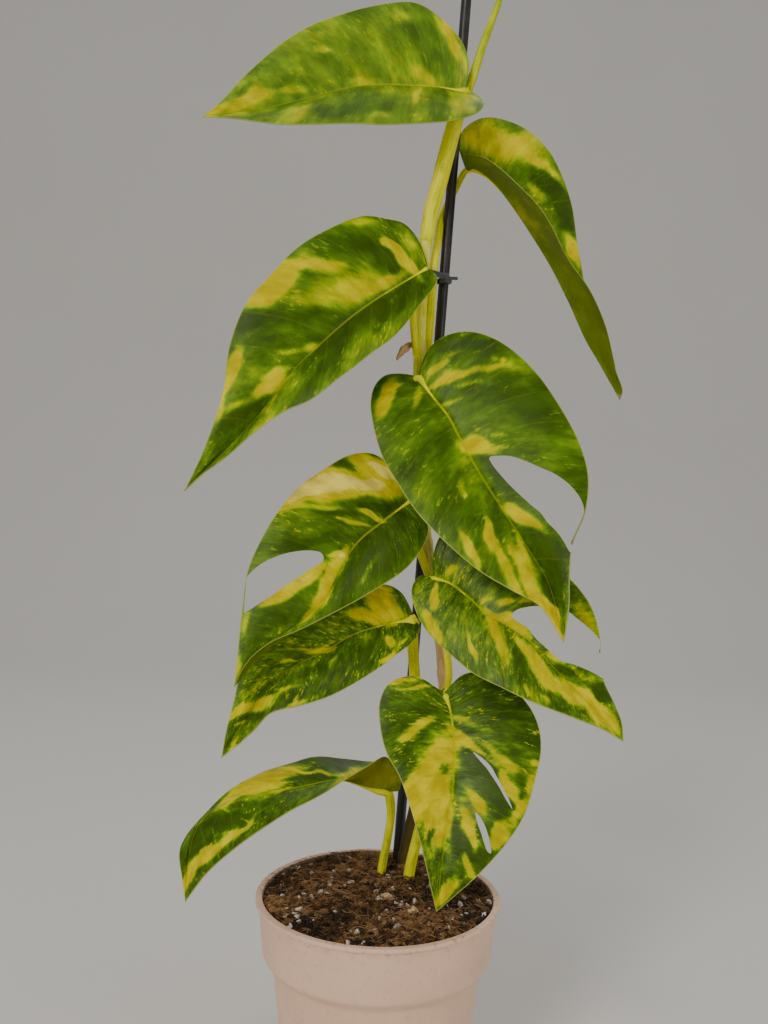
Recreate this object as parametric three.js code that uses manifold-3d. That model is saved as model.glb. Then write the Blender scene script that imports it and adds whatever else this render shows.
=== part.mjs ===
import * as THREE from 'three'
import { mergeVertices } from 'three/addons/utils/BufferGeometryUtils.js'
import Module from 'manifold-3d'

// Variegated climbing aroid on a stake in a 12 cm nursery pot.
// Millimetres, +Z up, origin at the centre of the pot's foot.

const wasm = await Module()
wasm.setup()

// Driving sizes
const gap = 0.3
const bladeThickness = 0.8
const bladeRows = 16
const bladeColumns = 5
const stalkSides = 8
const pot = {
  height: 105,
  footRadius: 42.5,
  shoulderRadius: 51,
  shoulderHeight: 73.5,
  collarRadius: 56,
  collarHeight: 78.5,
  brimRadius: 58.3,
  lipRadius: 60,
  lipDepth: 2.6,
  wall: 1.6,
  floor: 2,
  sides: 40,
  drainCount: 8,
  drainRadius: 4,
  drainCircle: 33,
}
const soil = { edgeHeight: 103.6, mound: 3.2, lump: 0.7, rings: 8, grains: 16, grainSize: 1.5 }
const stake = { radius: 2.7, buried: 38, sides: 12 }
const stem = { baseRadius: 2.9, topRadius: 3.1, nodeSwell: 0.14, nodePitch: 34, buried: 30 }
const tie = { height: 417, width: 3, strap: 1.1, slack: 0.5, head: [5, 3.4, 5], tail: [5, 1.2, 1.6] }

// Points of leaves and stalks are [across, height, depth] as seen from the eye point: across and
// height lie in the upright plane through the pot's axis, and depth slides a point along its
// line of sight, so the outline in the front view stays put while a leaf is bent forward or back.
const eye = new THREE.Vector3(-1.6, -457, 293)

// Each blade runs from its joint with the stalk to its tip. The right margin is the one on the
// right hand when the upper face is seen with the tip pointing up.
const leaves = {
  leaf_1: {
    joint: [33.5, 501, 22],
    tip: [-96, 486, -22],
    midrib: [[21, 503.5, 19], [7, 504, 15], [-17.5, 503.5, 6], [-42, 497, -4], [-64, 491, -12]],
    right: [
      [34.5, 507.5, 20], [34.5, 518, 20], [29.5, 529, 22], [19, 539, 24], [7.5, 545, 24],
      [-4.5, 545, 22], [-27.5, 539, 14], [-50.5, 529, 4], [-64.5, 518, -4], [-78, 504.5, -12],
      [-87, 494, -18],
    ],
    left: [
      [40.5, 500, 20], [43, 496, 15], [40.5, 492, 9], [34.5, 489, 3], [24, 487, -4],
      [11.5, 486, -9], [-6, 485, -15], [-26, 484.5, -20], [-40.5, 484, -24], [-63.5, 484, -27],
      [-81.5, 485.5, -26],
    ],
  },
  leaf_2: {
    joint: [35, 462.7, 41],
    tip: [113.5, 351, 30],
    midrib: [
      [38.2, 463.8, 41], [41.6, 463, 40.5], [47.2, 459, 39.5], [52.9, 453.1, 39], [60.2, 444.2, 38],
      [68.8, 431.3, 37], [78, 417, 36], [87.1, 399.9, 34.5], [96.4, 380.4, 33], [102.6, 370.2, 32],
    ],
    right: [
      [33.6, 466, 39], [33.9, 470.3, 35], [37.5, 470.8, 28], [45.5, 468.5, 19], [59, 458.5, 10],
      [74.5, 441.5, 6], [87, 420.5, 7], [97.5, 405, 11], [105.5, 388, 17], [111.5, 366, 25],
      [114.8, 355.5, 28.5],
    ],
    left: [
      [31, 473.5, 43], [32, 481.5, 47], [38.5, 487.5, 50], [47, 489.5, 52], [61, 486, 53],
      [73.5, 476, 52], [82, 463, 50], [88, 447, 47], [91.5, 425, 43], [97, 400, 38],
      [106, 374.5, 33], [111.6, 357.5, 30.8],
    ],
  },
  leaf_3: {
    joint: [17, 414, 12],
    tip: [-100.5, 301, -30],
    midrib: [
      [3.5, 405.5, 8], [-6.5, 399, 4], [-18, 390.5, 0], [-32, 378, -6], [-50.5, 359, -13],
      [-61.5, 343, -18], [-81.5, 320.5, -24],
    ],
    right: [
      [15, 421, 12], [11, 429.5, 13], [4.5, 436, 13], [-4.5, 438, 12], [-16, 439, 10],
      [-33, 432, 5], [-48, 422.5, 1], [-61.5, 408, -4], [-73, 393, -8], [-80, 373.5, -13],
      [-83, 349, -20], [-91, 323, -27],
    ],
    left: [
      [22, 409.5, 8], [19.5, 403.5, 2], [13.5, 396, -4], [8.5, 388.5, -9], [0, 379, -16],
      [-11.5, 370.5, -21], [-23, 361, -26], [-39.5, 347.5, -31], [-52.5, 341.5, -33],
      [-66.5, 331.5, -34], [-81.5, 317.5, -33], [-91.5, 309.5, -32],
    ],
  },
  leaf_4: {
    joint: [13.5, 360, 10],
    tip: [89, 230.5, -43],
    midrib: [
      [21.5, 350, 7], [29, 341, 4], [34, 332, 1], [44, 315, -6], [56, 297, -14], [67.5, 280, -22],
      [80, 260.5, -32],
    ],
    right: [
      [5.5, 361.5, 11], [-2.5, 360.5, 10], [-7.5, 355.5, 8], [-9.5, 347, 5], [-7.5, 333.5, 0],
      [-3, 320, -5], [5, 307, -10], [15, 293, -16], [28, 280, -22], [45, 266, -31],
      [62.5, 256, -37], [77, 248, -41],
    ],
    left: [
      [15.5, 367.5, 12], [19, 375, 13], [26.5, 381, 13], [37.5, 383.5, 11], [49, 381, 8],
      [61, 374, 4], [74, 361.5, 0], [85, 346, -7], [94.5, 329, -14], [99, 313.5, -20],
      [98, 295.5, -27], [92, 279, -34], [91, 264.5, -38], [91, 249, -41],
    ],
    slits: [[
      [49.8, 321.2], [54.3, 322.2], [60.7, 322], [67.2, 320.1], [73.8, 317.4], [81.6, 314.2],
      [88.2, 310], [93.2, 305], [96.2, 300.1], [97.2, 295.9], [96, 291.5], [94.1, 287],
      [92.2, 282.5], [91.2, 279.6], [94.1, 277.9], [91, 275.4], [89.4, 277.4], [87.5, 280.7],
      [83.6, 285.8], [79.6, 289.5], [75.6, 294.6], [71.7, 297.6], [65.7, 302.8], [60.5, 307.5],
      [55.1, 313.2], [51.2, 318],
    ]],
  },
  leaf_5: {
    joint: [12, 299.5, 15],
    tip: [-73.5, 205, -26],
    midrib: [
      [-2.5, 288, 8], [-13, 279, 4], [-20.5, 268, 0], [-25, 255, -6], [-33, 244, -10],
      [-46.5, 233, -15], [-60, 221.5, -20],
    ],
    right: [
      [7, 308, 15], [0.5, 317, 14], [-9, 322, 13], [-20, 320.5, 11], [-32.5, 313, 8],
      [-44.5, 304, 5], [-54, 292, 1], [-61.5, 279, -3], [-68.5, 262, -9], [-70.5, 244, -14],
      [-72, 225.5, -21],
    ],
    left: [
      [16.5, 294.5, 11], [20.5, 285.5, 6], [18, 276.5, 1], [10.5, 266, -5], [-1.5, 257, -10],
      [-16, 248, -14], [-29.5, 240.5, -19], [-43.5, 233, -24], [-58, 226, -28], [-68, 217, -29],
    ],
    slits: [[
      [-68.5, 259], [-66.3, 261.9], [-61.6, 265.9], [-55.7, 269.1], [-49.8, 271.3],
      [-43.9, 272.6], [-36.7, 273.1], [-32.6, 272.3], [-31, 270.5], [-31.1, 268.3],
      [-33.1, 266.5], [-37.7, 263.6], [-43.6, 259.2], [-49.5, 255.4], [-55.3, 250.9],
      [-61.2, 246.9], [-66.8, 243.1], [-69.4, 241.7], [-69.5, 244.9], [-69.3, 249.3],
      [-68.9, 254.3],
    ]],
  },
  leaf_6: {
    joint: [14.5, 240.5, 12],
    tip: [-79, 169.5, -17],
    midrib: [[-1, 237, 9], [-15.5, 232, 5], [-29, 223.5, 1], [-43, 216.5, -3], [-57.5, 204.5, -8]],
    right: [
      [12, 247, 12], [8.5, 253, 11], [1.5, 257, 10], [-11.5, 256, 8], [-28, 250, 5],
      [-44.5, 240, 1], [-60.5, 227, -4], [-70, 214, -8], [-73.5, 198.5, -12], [-77, 183, -15],
    ],
    left: [
      [17.5, 236, 10], [14.5, 229.5, 4], [6.5, 223, -2], [-1.5, 216.5, -6], [-15, 207.5, -12],
      [-28.5, 200.5, -16], [-41, 196.5, -19], [-55.5, 192, -21], [-63.5, 183.5, -21],
      [-72, 175.5, -19],
    ],
  },
  leaf_7: {
    joint: [22.5, 261, 9],
    tip: [119.5, 182.5, -23],
    midrib: [
      [31, 259, 6], [41, 252, 2], [49.5, 244.5, -3], [57, 240.5, -6], [70, 232.5, -11],
      [84, 218, -16], [99, 204, -19],
    ],
    right: [
      [17, 262, 9], [13, 256, 7], [14.5, 246.5, 3], [19.5, 236.5, -1], [26, 229.5, -5],
      [34.5, 222, -10], [45, 214, -16], [58, 208, -22], [71, 202, -25], [85, 197, -27],
      [99, 192, -27], [110.5, 187.5, -25],
    ],
    left: [
      [22.9, 267.5, 10], [23.7, 274.5, 10.5], [27, 282.5, 10.5], [34.5, 285.5, 9.5],
      [45.5, 283.5, 7.5], [61, 278.5, 4], [78.5, 271, 0], [92, 261.5, -4], [102.5, 248, -8],
      [107, 232.5, -12], [107.2, 226.5, -13.5], [109, 213, -17], [115, 200.5, -20],
      [118.5, 192, -22],
    ],
    slits: [[
      [62.8, 243.2], [64.4, 245.8], [69.3, 247.6], [75.8, 248.5], [83.3, 248.3], [90.5, 246.1],
      [95.1, 242.7], [100.8, 238.3], [104.3, 235], [106.5, 232.1], [106.8, 229.4], [106.4, 226.2],
      [111.2, 226.1], [112.5, 214.7], [108.7, 213.5], [105.5, 215.2], [99.9, 217.8],
      [94.3, 219.9], [88.7, 221.2], [85.1, 223.4], [80.2, 227.8], [75.2, 232.1], [70.2, 237.9],
      [66, 240.3],
    ]],
  },
  leaf_8: {
    joint: [30, 204.5, 0],
    tip: [29, 96, -27],
    midrib: [
      [33, 197.5, -1], [35.5, 183.5, -4], [36, 168.5, -8], [35.5, 156, -12], [33.5, 141.5, -16],
      [31, 119.5, -22],
    ],
    right: [
      [25, 207.5, 2], [18, 212, 3], [10, 212, 3], [2.5, 208, 1], [-1.5, 199.5, -2], [-1, 187, -7],
      [2.5, 174, -11], [9, 163, -15], [14, 150.5, -19], [18.5, 136.5, -23], [23, 120.5, -26],
      [26.5, 107, -27],
    ],
    left: [
      [33.5, 207, 1], [39, 213.5, 3], [48.5, 215, 3], [60, 210.5, 1], [70, 202, -2],
      [76.5, 191.5, -6], [79, 178.5, -11], [76.5, 162.5, -16], [71.5, 145, -21],
      [63.5, 131.5, -24], [51.5, 117, -26], [38.5, 104.5, -27],
    ],
    slits: [
      [
        [45.3, 175.6], [48.5, 173.7], [51.5, 171.4], [54.4, 168.5], [57, 164.2], [60.3, 158.4],
        [63.4, 152.9], [65.4, 147.7], [61.9, 152.8], [58.8, 158.2], [55.3, 163.3], [52.1, 167.8],
        [48.6, 171.5],
      ],
      [
        [47.2, 145.7], [50.3, 142.6], [52.8, 137.3], [54.6, 131.6], [55.3, 125.7], [53.7, 126.5],
        [51.9, 130.5], [50.4, 135.2], [48.4, 140.3],
      ],
    ],
  },
  leaf_9: {
    joint: [3, 155, 6],
    tip: [-95, 98, -20],
    midrib: [
      [-10, 158.5, 3], [-18.5, 160.5, 0], [-34.5, 157.5, -3], [-53.5, 153, -7],
      [-74, 147.5, -12], [-87.5, 139.5, -15], [-93.5, 123.5, -18],
    ],
    right: [
      [7, 159.5, 11], [7, 165.5, 17], [1.5, 169.5, 20], [-7.5, 170, 21], [-19.5, 171, 20],
      [-32.5, 171.5, 18], [-45, 168, 14], [-60.5, 162.5, 7], [-74, 154.5, -1], [-85, 144, -8],
      [-94, 133.5, -14], [-98.5, 123.5, -18], [-97, 110, -20],
    ],
    left: [
      [8.5, 155.5, 5], [10, 160.5, 2], [6.5, 168.5, -1], [1.5, 172.5, -5], [-7, 167.5, -10],
      [-19, 160, -16], [-32, 151, -21], [-46.5, 143.5, -25], [-60, 134, -28], [-73.5, 123, -29],
      [-85.5, 111.5, -26],
    ],
  },
}

// Leaf stalks from the stem or the soil up to their blade, with the radius at each end
const petioles = {
  leaf_1: {
    radius: [3.6, 4.1, 4.3, 4.2, 2.6],
    path: [
      [16, 428, 22], [17.8, 440.5, 22], [21.2, 454, 22], [25.4, 472.5, 22], [29.1, 487.5, 22.5],
      [31.5, 496.5, 23], [34, 501, 22.5],
    ],
  },
  leaf_2: {
    radius: [2.4, 2.2, 1.5],
    path: [
      [17.5, 372.5, 24], [19, 388.5, 24], [19.5, 403, 25], [20.5, 418, 27], [22, 429.5, 30.5],
      [23, 438, 36], [25, 444, 40], [28.5, 450.5, 42], [32.6, 459.3, 42], [34.7, 462.4, 41.7],
    ],
  },
  leaf_3: {
    radius: [1.9, 1.7],
    path: [[12.5, 371, 20], [10.5, 388, 16], [10.5, 398, 15], [13, 408, 13], [17, 413.5, 12.5]],
  },
  leaf_4: {
    radius: [2.4, 2],
    path: [[17.5, 312, 22], [12, 326.5, 16], [10.5, 346, 14], [11.5, 355.5, 12], [13.5, 359.5, 10]],
  },
  leaf_5: {
    radius: [2.3, 1.9],
    path: [[22, 261, 23], [16, 275.5, 20], [12.5, 288.5, 18], [12, 299, 16]],
  },
  leaf_6: {
    radius: [3.1, 2.7],
    path: [
      [22.5, 168.5, 30], [18, 183.5, 25], [16, 200.5, 21], [15.5, 212.5, 19], [14, 230, 16],
      [13.5, 237, 14], [14.5, 240, 12],
    ],
  },
  leaf_7: {
    radius: [2, 1.8],
    path: [
      [30.5, 200, 22], [31.8, 207.5, 18.5], [32.4, 214.5, 16.5], [31.6, 221.5, 16],
      [30.4, 229, 15.5], [28.5, 238, 15], [25.5, 253, 12], [23, 260.5, 10],
    ],
  },
  leaf_8: {
    radius: [3, 2.1],
    buried: 16,
    path: [
      [15, 113, 14], [19, 133.5, 13], [24.5, 158.5, 12], [29, 183.5, 10], [32.5, 198.5, 6],
      [31, 204.5, 1],
    ],
  },
  leaf_9: {
    radius: [2.3, 2],
    buried: 16,
    path: [[1.5, 115, 20], [4, 131, 17], [5.5, 143.5, 13], [5, 150, 10], [3.5, 154.5, 7]],
  },
}

const stemPath = [
  [12, 119.5, 33], [16.5, 145, 31], [23, 171, 27], [30.4, 198.5, 23], [29.6, 214.5, 22],
  [28, 229.5, 22], [23.2, 255, 23], [20.5, 273.5, 24], [18, 294.5, 24], [16, 314, 23],
  [14.5, 339, 22], [14, 361, 22], [14, 383.5, 22], [14.5, 403, 22], [16, 428, 22],
]
const stakeFoot = [9.2, 121, 42]
const stakeTop = [33.8, 563, 32]
const spearPath = [
  [33.5, 499, 27.5], [37, 509, 27.5], [41.9, 525.5, 28], [49.3, 547.5, 29], [53, 563, 29],
]
const spearRadii = [2.6, 2.3, 2, 1.6, 0.5]
const rootPath = [
  [10.7, 376.6, 23], [8.5, 375.3, 20.5], [6.1, 373.2, 18.5], [4.4, 371, 17], [3, 368.5, 16],
]
const rootRadii = [1.1, 1.6, 2.3, 1.5, 0.6]

// Stones pressed into the potting mix: [x, y, half length, half width, half height, turn]
const stones = [
  [4.5, -10, 3.6, 2.4, 1.8, 0.1], [17, -24, 2.2, 1.9, 1.6, 0.9], [15, -26, 1.3, 1.3, 1.2, 0.2],
  [16.4, -21.5, 1.4, 1.2, 1.3, 0.6], [-14, 7, 3.2, 1.3, 1.1, 0.9], [9, -40, 2.4, 1.5, 1.2, 1],
]

// Looks of the plain solids
const finishes = {
  pot: { color: 0xa8988a, roughness: 0.55 },
  mix: { color: 0x33221a, roughness: 1 },
  stake: { color: 0x26282a, roughness: 0.35 },
  stem: { color: 0x9a9a2c, roughness: 0.5 },
  bark: { color: 0xb08a5a, roughness: 0.8 },
  blade: { color: 0x5f8a14, roughness: 0.38 },
}

function place([across, height, depth]) {
  const onPlane = new THREE.Vector3(across, 0, height)
  return onPlane.sub(eye).multiplyScalar(1 - depth / eye.y).add(eye)
}

function curveThrough(points) {
  return new THREE.CatmullRomCurve3(points.map(place), false, 'centripetal')
}

function geometryFrom(positions, triangles) {
  const geometry = new THREE.BufferGeometry()
  geometry.setAttribute('position', new THREE.Float32BufferAttribute(positions, 3))
  geometry.setIndex(triangles)
  return geometry
}

// A closed body for cutting and joining, with its faces turned outwards
function solid(geometry) {
  const plain = geometry.clone()
  plain.deleteAttribute('normal')
  plain.deleteAttribute('uv')
  const merged = mergeVertices(plain, 1e-4)
  const index = merged.index.array
  const triangles = []
  for (let i = 0; i < index.length; i += 3) {
    const [a, b, c] = index.slice(i, i + 3)
    if (a !== b && b !== c && c !== a) triangles.push(a, b, c)
  }
  const vertProperties = Float32Array.from(merged.attributes.position.array)
  const build = (list) => new wasm.Manifold(
    new wasm.Mesh({ numProp: 3, vertProperties, triVerts: Uint32Array.from(list) })
  )
  const body = build(triangles)
  return body.volume() > 0 ? body : build(triangles.reverse())
}

// The largest piece of a body, so that a scrap left by a cut is dropped
function largest(body) {
  return body.decompose().reduce((best, piece) => (piece.volume() > best.volume() ? piece : best))
}

function mesh(name, body, finish) {
  const { vertProperties, triVerts } = body.getMesh()
  const geometry = geometryFrom(Array.from(vertProperties), Array.from(triVerts))
  geometry.computeVertexNormals()
  const material = new THREE.MeshStandardMaterial({ ...finish, metalness: 0 })
  const part = new THREE.Mesh(geometry, material)
  part.name = name
  return part
}

// A round stalk along a curve, grown by a clearance when it is used to cut a neighbour
function stalk(curve, radiusAt, steps, clearance = 0, sides = stalkSides) {
  const frames = curve.computeFrenetFrames(steps, false)
  const positions = []
  const triangles = []
  for (let i = 0; i <= steps; i += 1) {
    const along = i / steps
    const end = (i === steps) - (i === 0)
    const centre = curve.getPointAt(along).addScaledVector(frames.tangents[i], end * clearance)
    const radius = radiusAt(along) + clearance
    for (let s = 0; s < sides; s += 1) {
      const angle = (s / sides) * 2 * Math.PI
      const point = centre.clone()
        .addScaledVector(frames.normals[i], radius * Math.cos(angle))
        .addScaledVector(frames.binormals[i], radius * Math.sin(angle))
      positions.push(...point)
    }
  }
  for (let i = 0; i < steps; i += 1) {
    for (let s = 0; s < sides; s += 1) {
      const a = i * sides + s
      const b = i * sides + ((s + 1) % sides)
      triangles.push(a, b, b + sides, a, b + sides, a + sides)
    }
  }
  const last = steps * sides
  for (let s = 1; s < sides - 1; s += 1) {
    triangles.push(0, s + 1, s, last, last + s, last + s + 1)
  }
  return solid(geometryFrom(positions, triangles))
}

function revolve(profile, sides) {
  const points = profile.map(([radius, height]) => new THREE.Vector2(radius, height))
  const geometry = new THREE.LatheGeometry(points, sides)
  geometry.rotateX(Math.PI / 2)
  return geometry
}

// Radius along a stalk, from radii spaced evenly over its length
function taper(radii) {
  return (along) => {
    const spans = radii.length - 1
    const span = Math.min(Math.floor(along * spans), spans - 1)
    return THREE.MathUtils.lerp(radii[span], radii[span + 1], along * spans - span)
  }
}

// Middle surface of a blade: rows from the joint to the tip, each a pair of curved ribs that
// leave the midrib and bend forward to the margins
function bladeRowsOf(leaf) {
  const chain = (points) => curveThrough([leaf.joint, ...points, leaf.tip])
  const midrib = chain(leaf.midrib)
  const margins = [chain(leaf.left), chain(leaf.right)]
  const ribCrowding = 1.75
  const ribSweep = 0.14
  const camber = 0.07
  const rows = []
  for (let i = 1; i < bladeRows; i += 1) {
    const along = i / bladeRows
    const anchor = midrib.getPointAt(along ** ribCrowding)
    const forward = midrib.getTangentAt(along ** ribCrowding)
    const row = []
    margins.forEach((margin, side) => {
      const edge = margin.getPointAt(along)
      const rib = edge.clone().sub(anchor)
      const upward = rib.clone().cross(forward).multiplyScalar(side ? 1 : -1).normalize()
      const bend = anchor.clone().add(edge).multiplyScalar(0.5)
        .addScaledVector(forward, -ribSweep * rib.length() * Math.sin(Math.PI * along))
        .addScaledVector(upward, camber * rib.length())
      const curve = new THREE.QuadraticBezierCurve3(anchor, bend, edge)
      const points = curve.getPoints(bladeColumns)
      row.push(...(side ? points.slice(1) : points.reverse()))
    })
    rows.push(row)
  }
  return { rows, joint: midrib.getPointAt(0), tip: midrib.getPointAt(1) }
}

// A thin closed blade round its middle surface, split alike on both faces
function blade(leaf, clearance = 0) {
  const { rows, joint, tip } = bladeRowsOf(leaf)
  const width = rows[0].length
  if (clearance) {
    joint.add(joint.clone().sub(rows[0][bladeColumns]).setLength(clearance))
    tip.add(tip.clone().sub(rows.at(-1)[bladeColumns]).setLength(clearance))
    rows.forEach((row) => {
      row[0].add(row[0].clone().sub(row[1]).setLength(clearance))
      row[width - 1].add(row[width - 1].clone().sub(row[width - 2]).setLength(clearance))
    })
  }
  const half = bladeThickness / 2 + clearance
  const rowOf = (i) => rows[Math.min(Math.max(i, 0), rows.length - 1)]
  const normalAt = (i, c) => {
    const across = rowOf(i)[Math.min(c + 1, width - 1)].clone().sub(rowOf(i)[Math.max(c - 1, 0)])
    const before = i > 0 ? rowOf(i - 1)[c] : joint
    const after = i < rows.length - 1 ? rowOf(i + 1)[c] : tip
    return across.cross(after.clone().sub(before)).normalize()
  }
  const upper = []
  const lower = []
  const addPoint = (point, normal) => {
    upper.push(point.clone().addScaledVector(normal, half))
    lower.push(point.clone().addScaledVector(normal, -half))
  }
  rows.forEach((row, i) => row.forEach((point, c) => addPoint(point, normalAt(i, c))))
  addPoint(joint, normalAt(0, bladeColumns))
  addPoint(tip, normalAt(rows.length - 1, bladeColumns))

  const jointIndex = rows.length * width
  const tipIndex = jointIndex + 1
  const lastRow = (rows.length - 1) * width
  const face = []
  for (let c = 0; c < width - 1; c += 1) {
    face.push([jointIndex, c + 1, c], [tipIndex, lastRow + c, lastRow + c + 1])
    for (let i = 0; i < rows.length - 1; i += 1) {
      const a = i * width + c
      face.push([a, a + 1, a + 1 + width], [a, a + 1 + width, a + width])
    }
  }
  const border = [jointIndex]
  rows.forEach((row, i) => border.push(i * width + width - 1))
  border.push(tipIndex)
  for (let i = rows.length - 1; i >= 0; i -= 1) border.push(i * width)

  const under = upper.length
  const triangles = face.flatMap(([a, b, c]) => [a, b, c, c + under, b + under, a + under])
  border.forEach((a, i) => {
    const b = border[(i + 1) % border.length]
    triangles.push(a, a + under, b, b, a + under, b + under)
  })
  const positions = [...upper, ...lower].flatMap((point) => point.toArray())
  return solid(geometryFrom(positions, triangles))
}

// A prism along the line of sight, through a slit's outline
function slitCutter(outline) {
  const near = -60
  const far = 40
  const corners = outline.map(([across, height]) => new THREE.Vector2(across, height))
  const caps = THREE.ShapeUtils.triangulateShape(corners, [])
  const ring = (depth) => outline.flatMap((point) => place([...point, depth]).toArray())
  const count = outline.length
  const triangles = caps.flatMap(([a, b, c]) => [a, b, c, c + count, b + count, a + count])
  const turn = THREE.ShapeUtils.isClockWise(corners) ? 1 : -1
  for (let i = 0; i < count; i += 1) {
    const j = (i + 1) % count
    const wall = [i, j, j + count, i, j + count, i + count]
    triangles.push(...(turn > 0 ? wall : wall.reverse()))
  }
  return solid(geometryFrom([...ring(near), ...ring(far)], triangles))
}

function leafBody(leaf) {
  const cutters = (leaf.slits ?? []).map(slitCutter)
  return largest(cutters.reduce((body, cutter) => body.subtract(cutter), blade(leaf)))
}

// Stem, stake and leaf stalks
function buriedBelow(path, depth) {
  const [across, height, back] = path[0]
  return [[across, height - depth, back], ...path]
}

const stemCurve = curveThrough(buriedBelow(stemPath, stem.buried))
const stemLength = stemCurve.getLength()
const stemSteps = 42

function stemRadius(along) {
  const beat = Math.cos((2 * Math.PI * along * stemLength) / stem.nodePitch)
  const swell = 1 + stem.nodeSwell * Math.max(0, beat) ** 6
  return THREE.MathUtils.lerp(stem.baseRadius, stem.topRadius, along) * swell
}

const stakeEnds = [
  place([stakeFoot[0], stakeFoot[1] - stake.buried, stakeFoot[2]]),
  place(stakeTop),
]
const stakeCurve = new THREE.LineCurve3(...stakeEnds)

// A straight round rod with a domed top
function stakeBody() {
  const length = stakeCurve.getLength()
  const dome = [0.25, 0.5, 0.75].map((turn) => [
    stake.radius * Math.cos((turn * Math.PI) / 2),
    length - stake.radius * (1 - Math.sin((turn * Math.PI) / 2)),
  ])
  const profile = [
    [0, 0], [stake.radius, 0], [stake.radius, length - stake.radius], ...dome, [0, length],
  ]
  const rod = revolve(profile, stake.sides)
  const upright = new THREE.Vector3(0, 0, 1)
  const lean = new THREE.Quaternion().setFromUnitVectors(upright, stakeCurve.getTangentAt(0))
  rod.applyQuaternion(lean)
  rod.translate(...stakeEnds[0])
  return solid(rod)
}

const stemCut = stalk(stemCurve, stemRadius, stemSteps, gap)
const stakeCut = stalk(stakeCurve, () => stake.radius, 2, gap, stake.sides)

const group = new THREE.Group()
const stalkCuts = { stem: stemCut, stake: stakeCut }
const bladeCuts = {}
for (const [name, leaf] of Object.entries(leaves)) {
  bladeCuts[name] = blade(leaf, gap)
  group.add(mesh(`${name}_blade`, leafBody(leaf), finishes.blade))
}

for (const [name, petiole] of Object.entries(petioles)) {
  const path = petiole.buried ? buriedBelow(petiole.path, petiole.buried) : petiole.path
  const curve = curveThrough(path)
  const steps = Math.round(curve.getLength() / 6)
  const radiusAt = taper(petiole.radius)
  const whole = stalk(curve, radiusAt, steps)
  const body = largest(whole.subtract(stemCut).subtract(stakeCut).subtract(bladeCuts[name]))
  stalkCuts[name] = stalk(curve, radiusAt, steps, gap)
  group.add(mesh(`${name}_petiole`, body, finishes.stem))
}

group.add(mesh('main_stem', stalk(stemCurve, stemRadius, stemSteps), finishes.stem))
group.add(mesh('stake', stakeBody(), finishes.stake))

const rootCurve = curveThrough(rootPath)
const root = stalk(rootCurve, taper(rootRadii), 12).subtract(stemCut).subtract(stalkCuts.leaf_3)
group.add(mesh('aerial_root', largest(root), finishes.bark))

const spearCurve = curveThrough(spearPath)
const spear = stalk(spearCurve, taper(spearRadii), 12).subtract(stalkCuts.leaf_1).subtract(stakeCut)
group.add(mesh('new_leaf_spear', largest(spear), finishes.stem))

// Tie: a strap drawn round stem, second leaf's stalk and stake, with its head and tail
function pointAtHeight(curve, height) {
  const samples = curve.getSpacedPoints(400)
  return samples.reduce((best, point) => (
    Math.abs(point.z - height) < Math.abs(best.z - height) ? point : best
  ))
}

function tieBody() {
  const bound = [
    [pointAtHeight(stemCurve, tie.height), stem.topRadius],
    [pointAtHeight(curveThrough(petioles.leaf_2.path), tie.height), petioles.leaf_2.radius[0]],
    [pointAtHeight(stakeCurve, tie.height), stake.radius],
  ]
  const loop = (margin) => {
    const points = []
    for (let i = 0; i < 28; i += 1) {
      const angle = (i / 28) * 2 * Math.PI
      const reach = bound.map(([c, r]) => c.x * Math.cos(angle) + c.y * Math.sin(angle) + r)
      const [centre, radius] = bound[reach.indexOf(Math.max(...reach))]
      points.push(new THREE.Vector2(
        centre.x + (radius + margin) * Math.cos(angle),
        centre.y + (radius + margin) * Math.sin(angle)
      ))
    }
    return points
  }
  const shape = new THREE.Shape(loop(tie.slack + tie.strap))
  shape.holes.push(new THREE.Path(loop(tie.slack)))
  const strap = new THREE.ExtrudeGeometry(shape, { depth: tie.width, bevelEnabled: false })
  strap.translate(0, 0, tie.height - tie.width / 2)
  const centre = bound[2][0]
  const front = centre.y - stake.radius - tie.slack - tie.head[1] / 2
  const head = new THREE.BoxGeometry(...tie.head)
  head.translate(centre.x, front, tie.height)
  const tail = new THREE.BoxGeometry(...tie.tail)
  tail.translate(centre.x + (tie.head[0] + tie.tail[0]) / 2 - 0.5, front, tie.height)
  return solid(strap).add(solid(head)).add(solid(tail))
}

group.add(mesh('stake_tie', tieBody(), finishes.stake))

// Pot with a stepped collar, a thin lip and drain holes in its floor
const insideWall = [
  [pot.brimRadius - pot.wall, pot.height],
  [pot.collarRadius - pot.wall, pot.collarHeight + pot.wall / 2],
  [pot.shoulderRadius - pot.wall, pot.shoulderHeight + pot.wall / 2],
  [pot.footRadius - pot.wall, pot.floor],
]

function potBody() {
  const outside = [
    [0, 0],
    [pot.footRadius - 1, 0],
    [pot.footRadius, 1],
    [pot.shoulderRadius, pot.shoulderHeight],
    [pot.collarRadius, pot.collarHeight],
    [pot.brimRadius, pot.height - pot.lipDepth],
    [pot.lipRadius, pot.height - pot.lipDepth * 0.7],
    [pot.lipRadius, pot.height - 0.5],
    [pot.lipRadius - 0.5, pot.height],
  ]
  let body = solid(revolve([...outside, ...insideWall, [0, pot.floor]], pot.sides))
  for (let i = 0; i < pot.drainCount; i += 1) {
    const angle = ((i + 0.5) / pot.drainCount) * 2 * Math.PI
    const drain = new THREE.CylinderGeometry(pot.drainRadius, pot.drainRadius, 4 * pot.floor, 12)
    drain.rotateX(Math.PI / 2)
    drain.translate(pot.drainCircle * Math.cos(angle), pot.drainCircle * Math.sin(angle), 0)
    body = body.subtract(solid(drain))
  }
  return body
}

group.add(mesh('pot', potBody(), finishes.pot))

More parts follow.
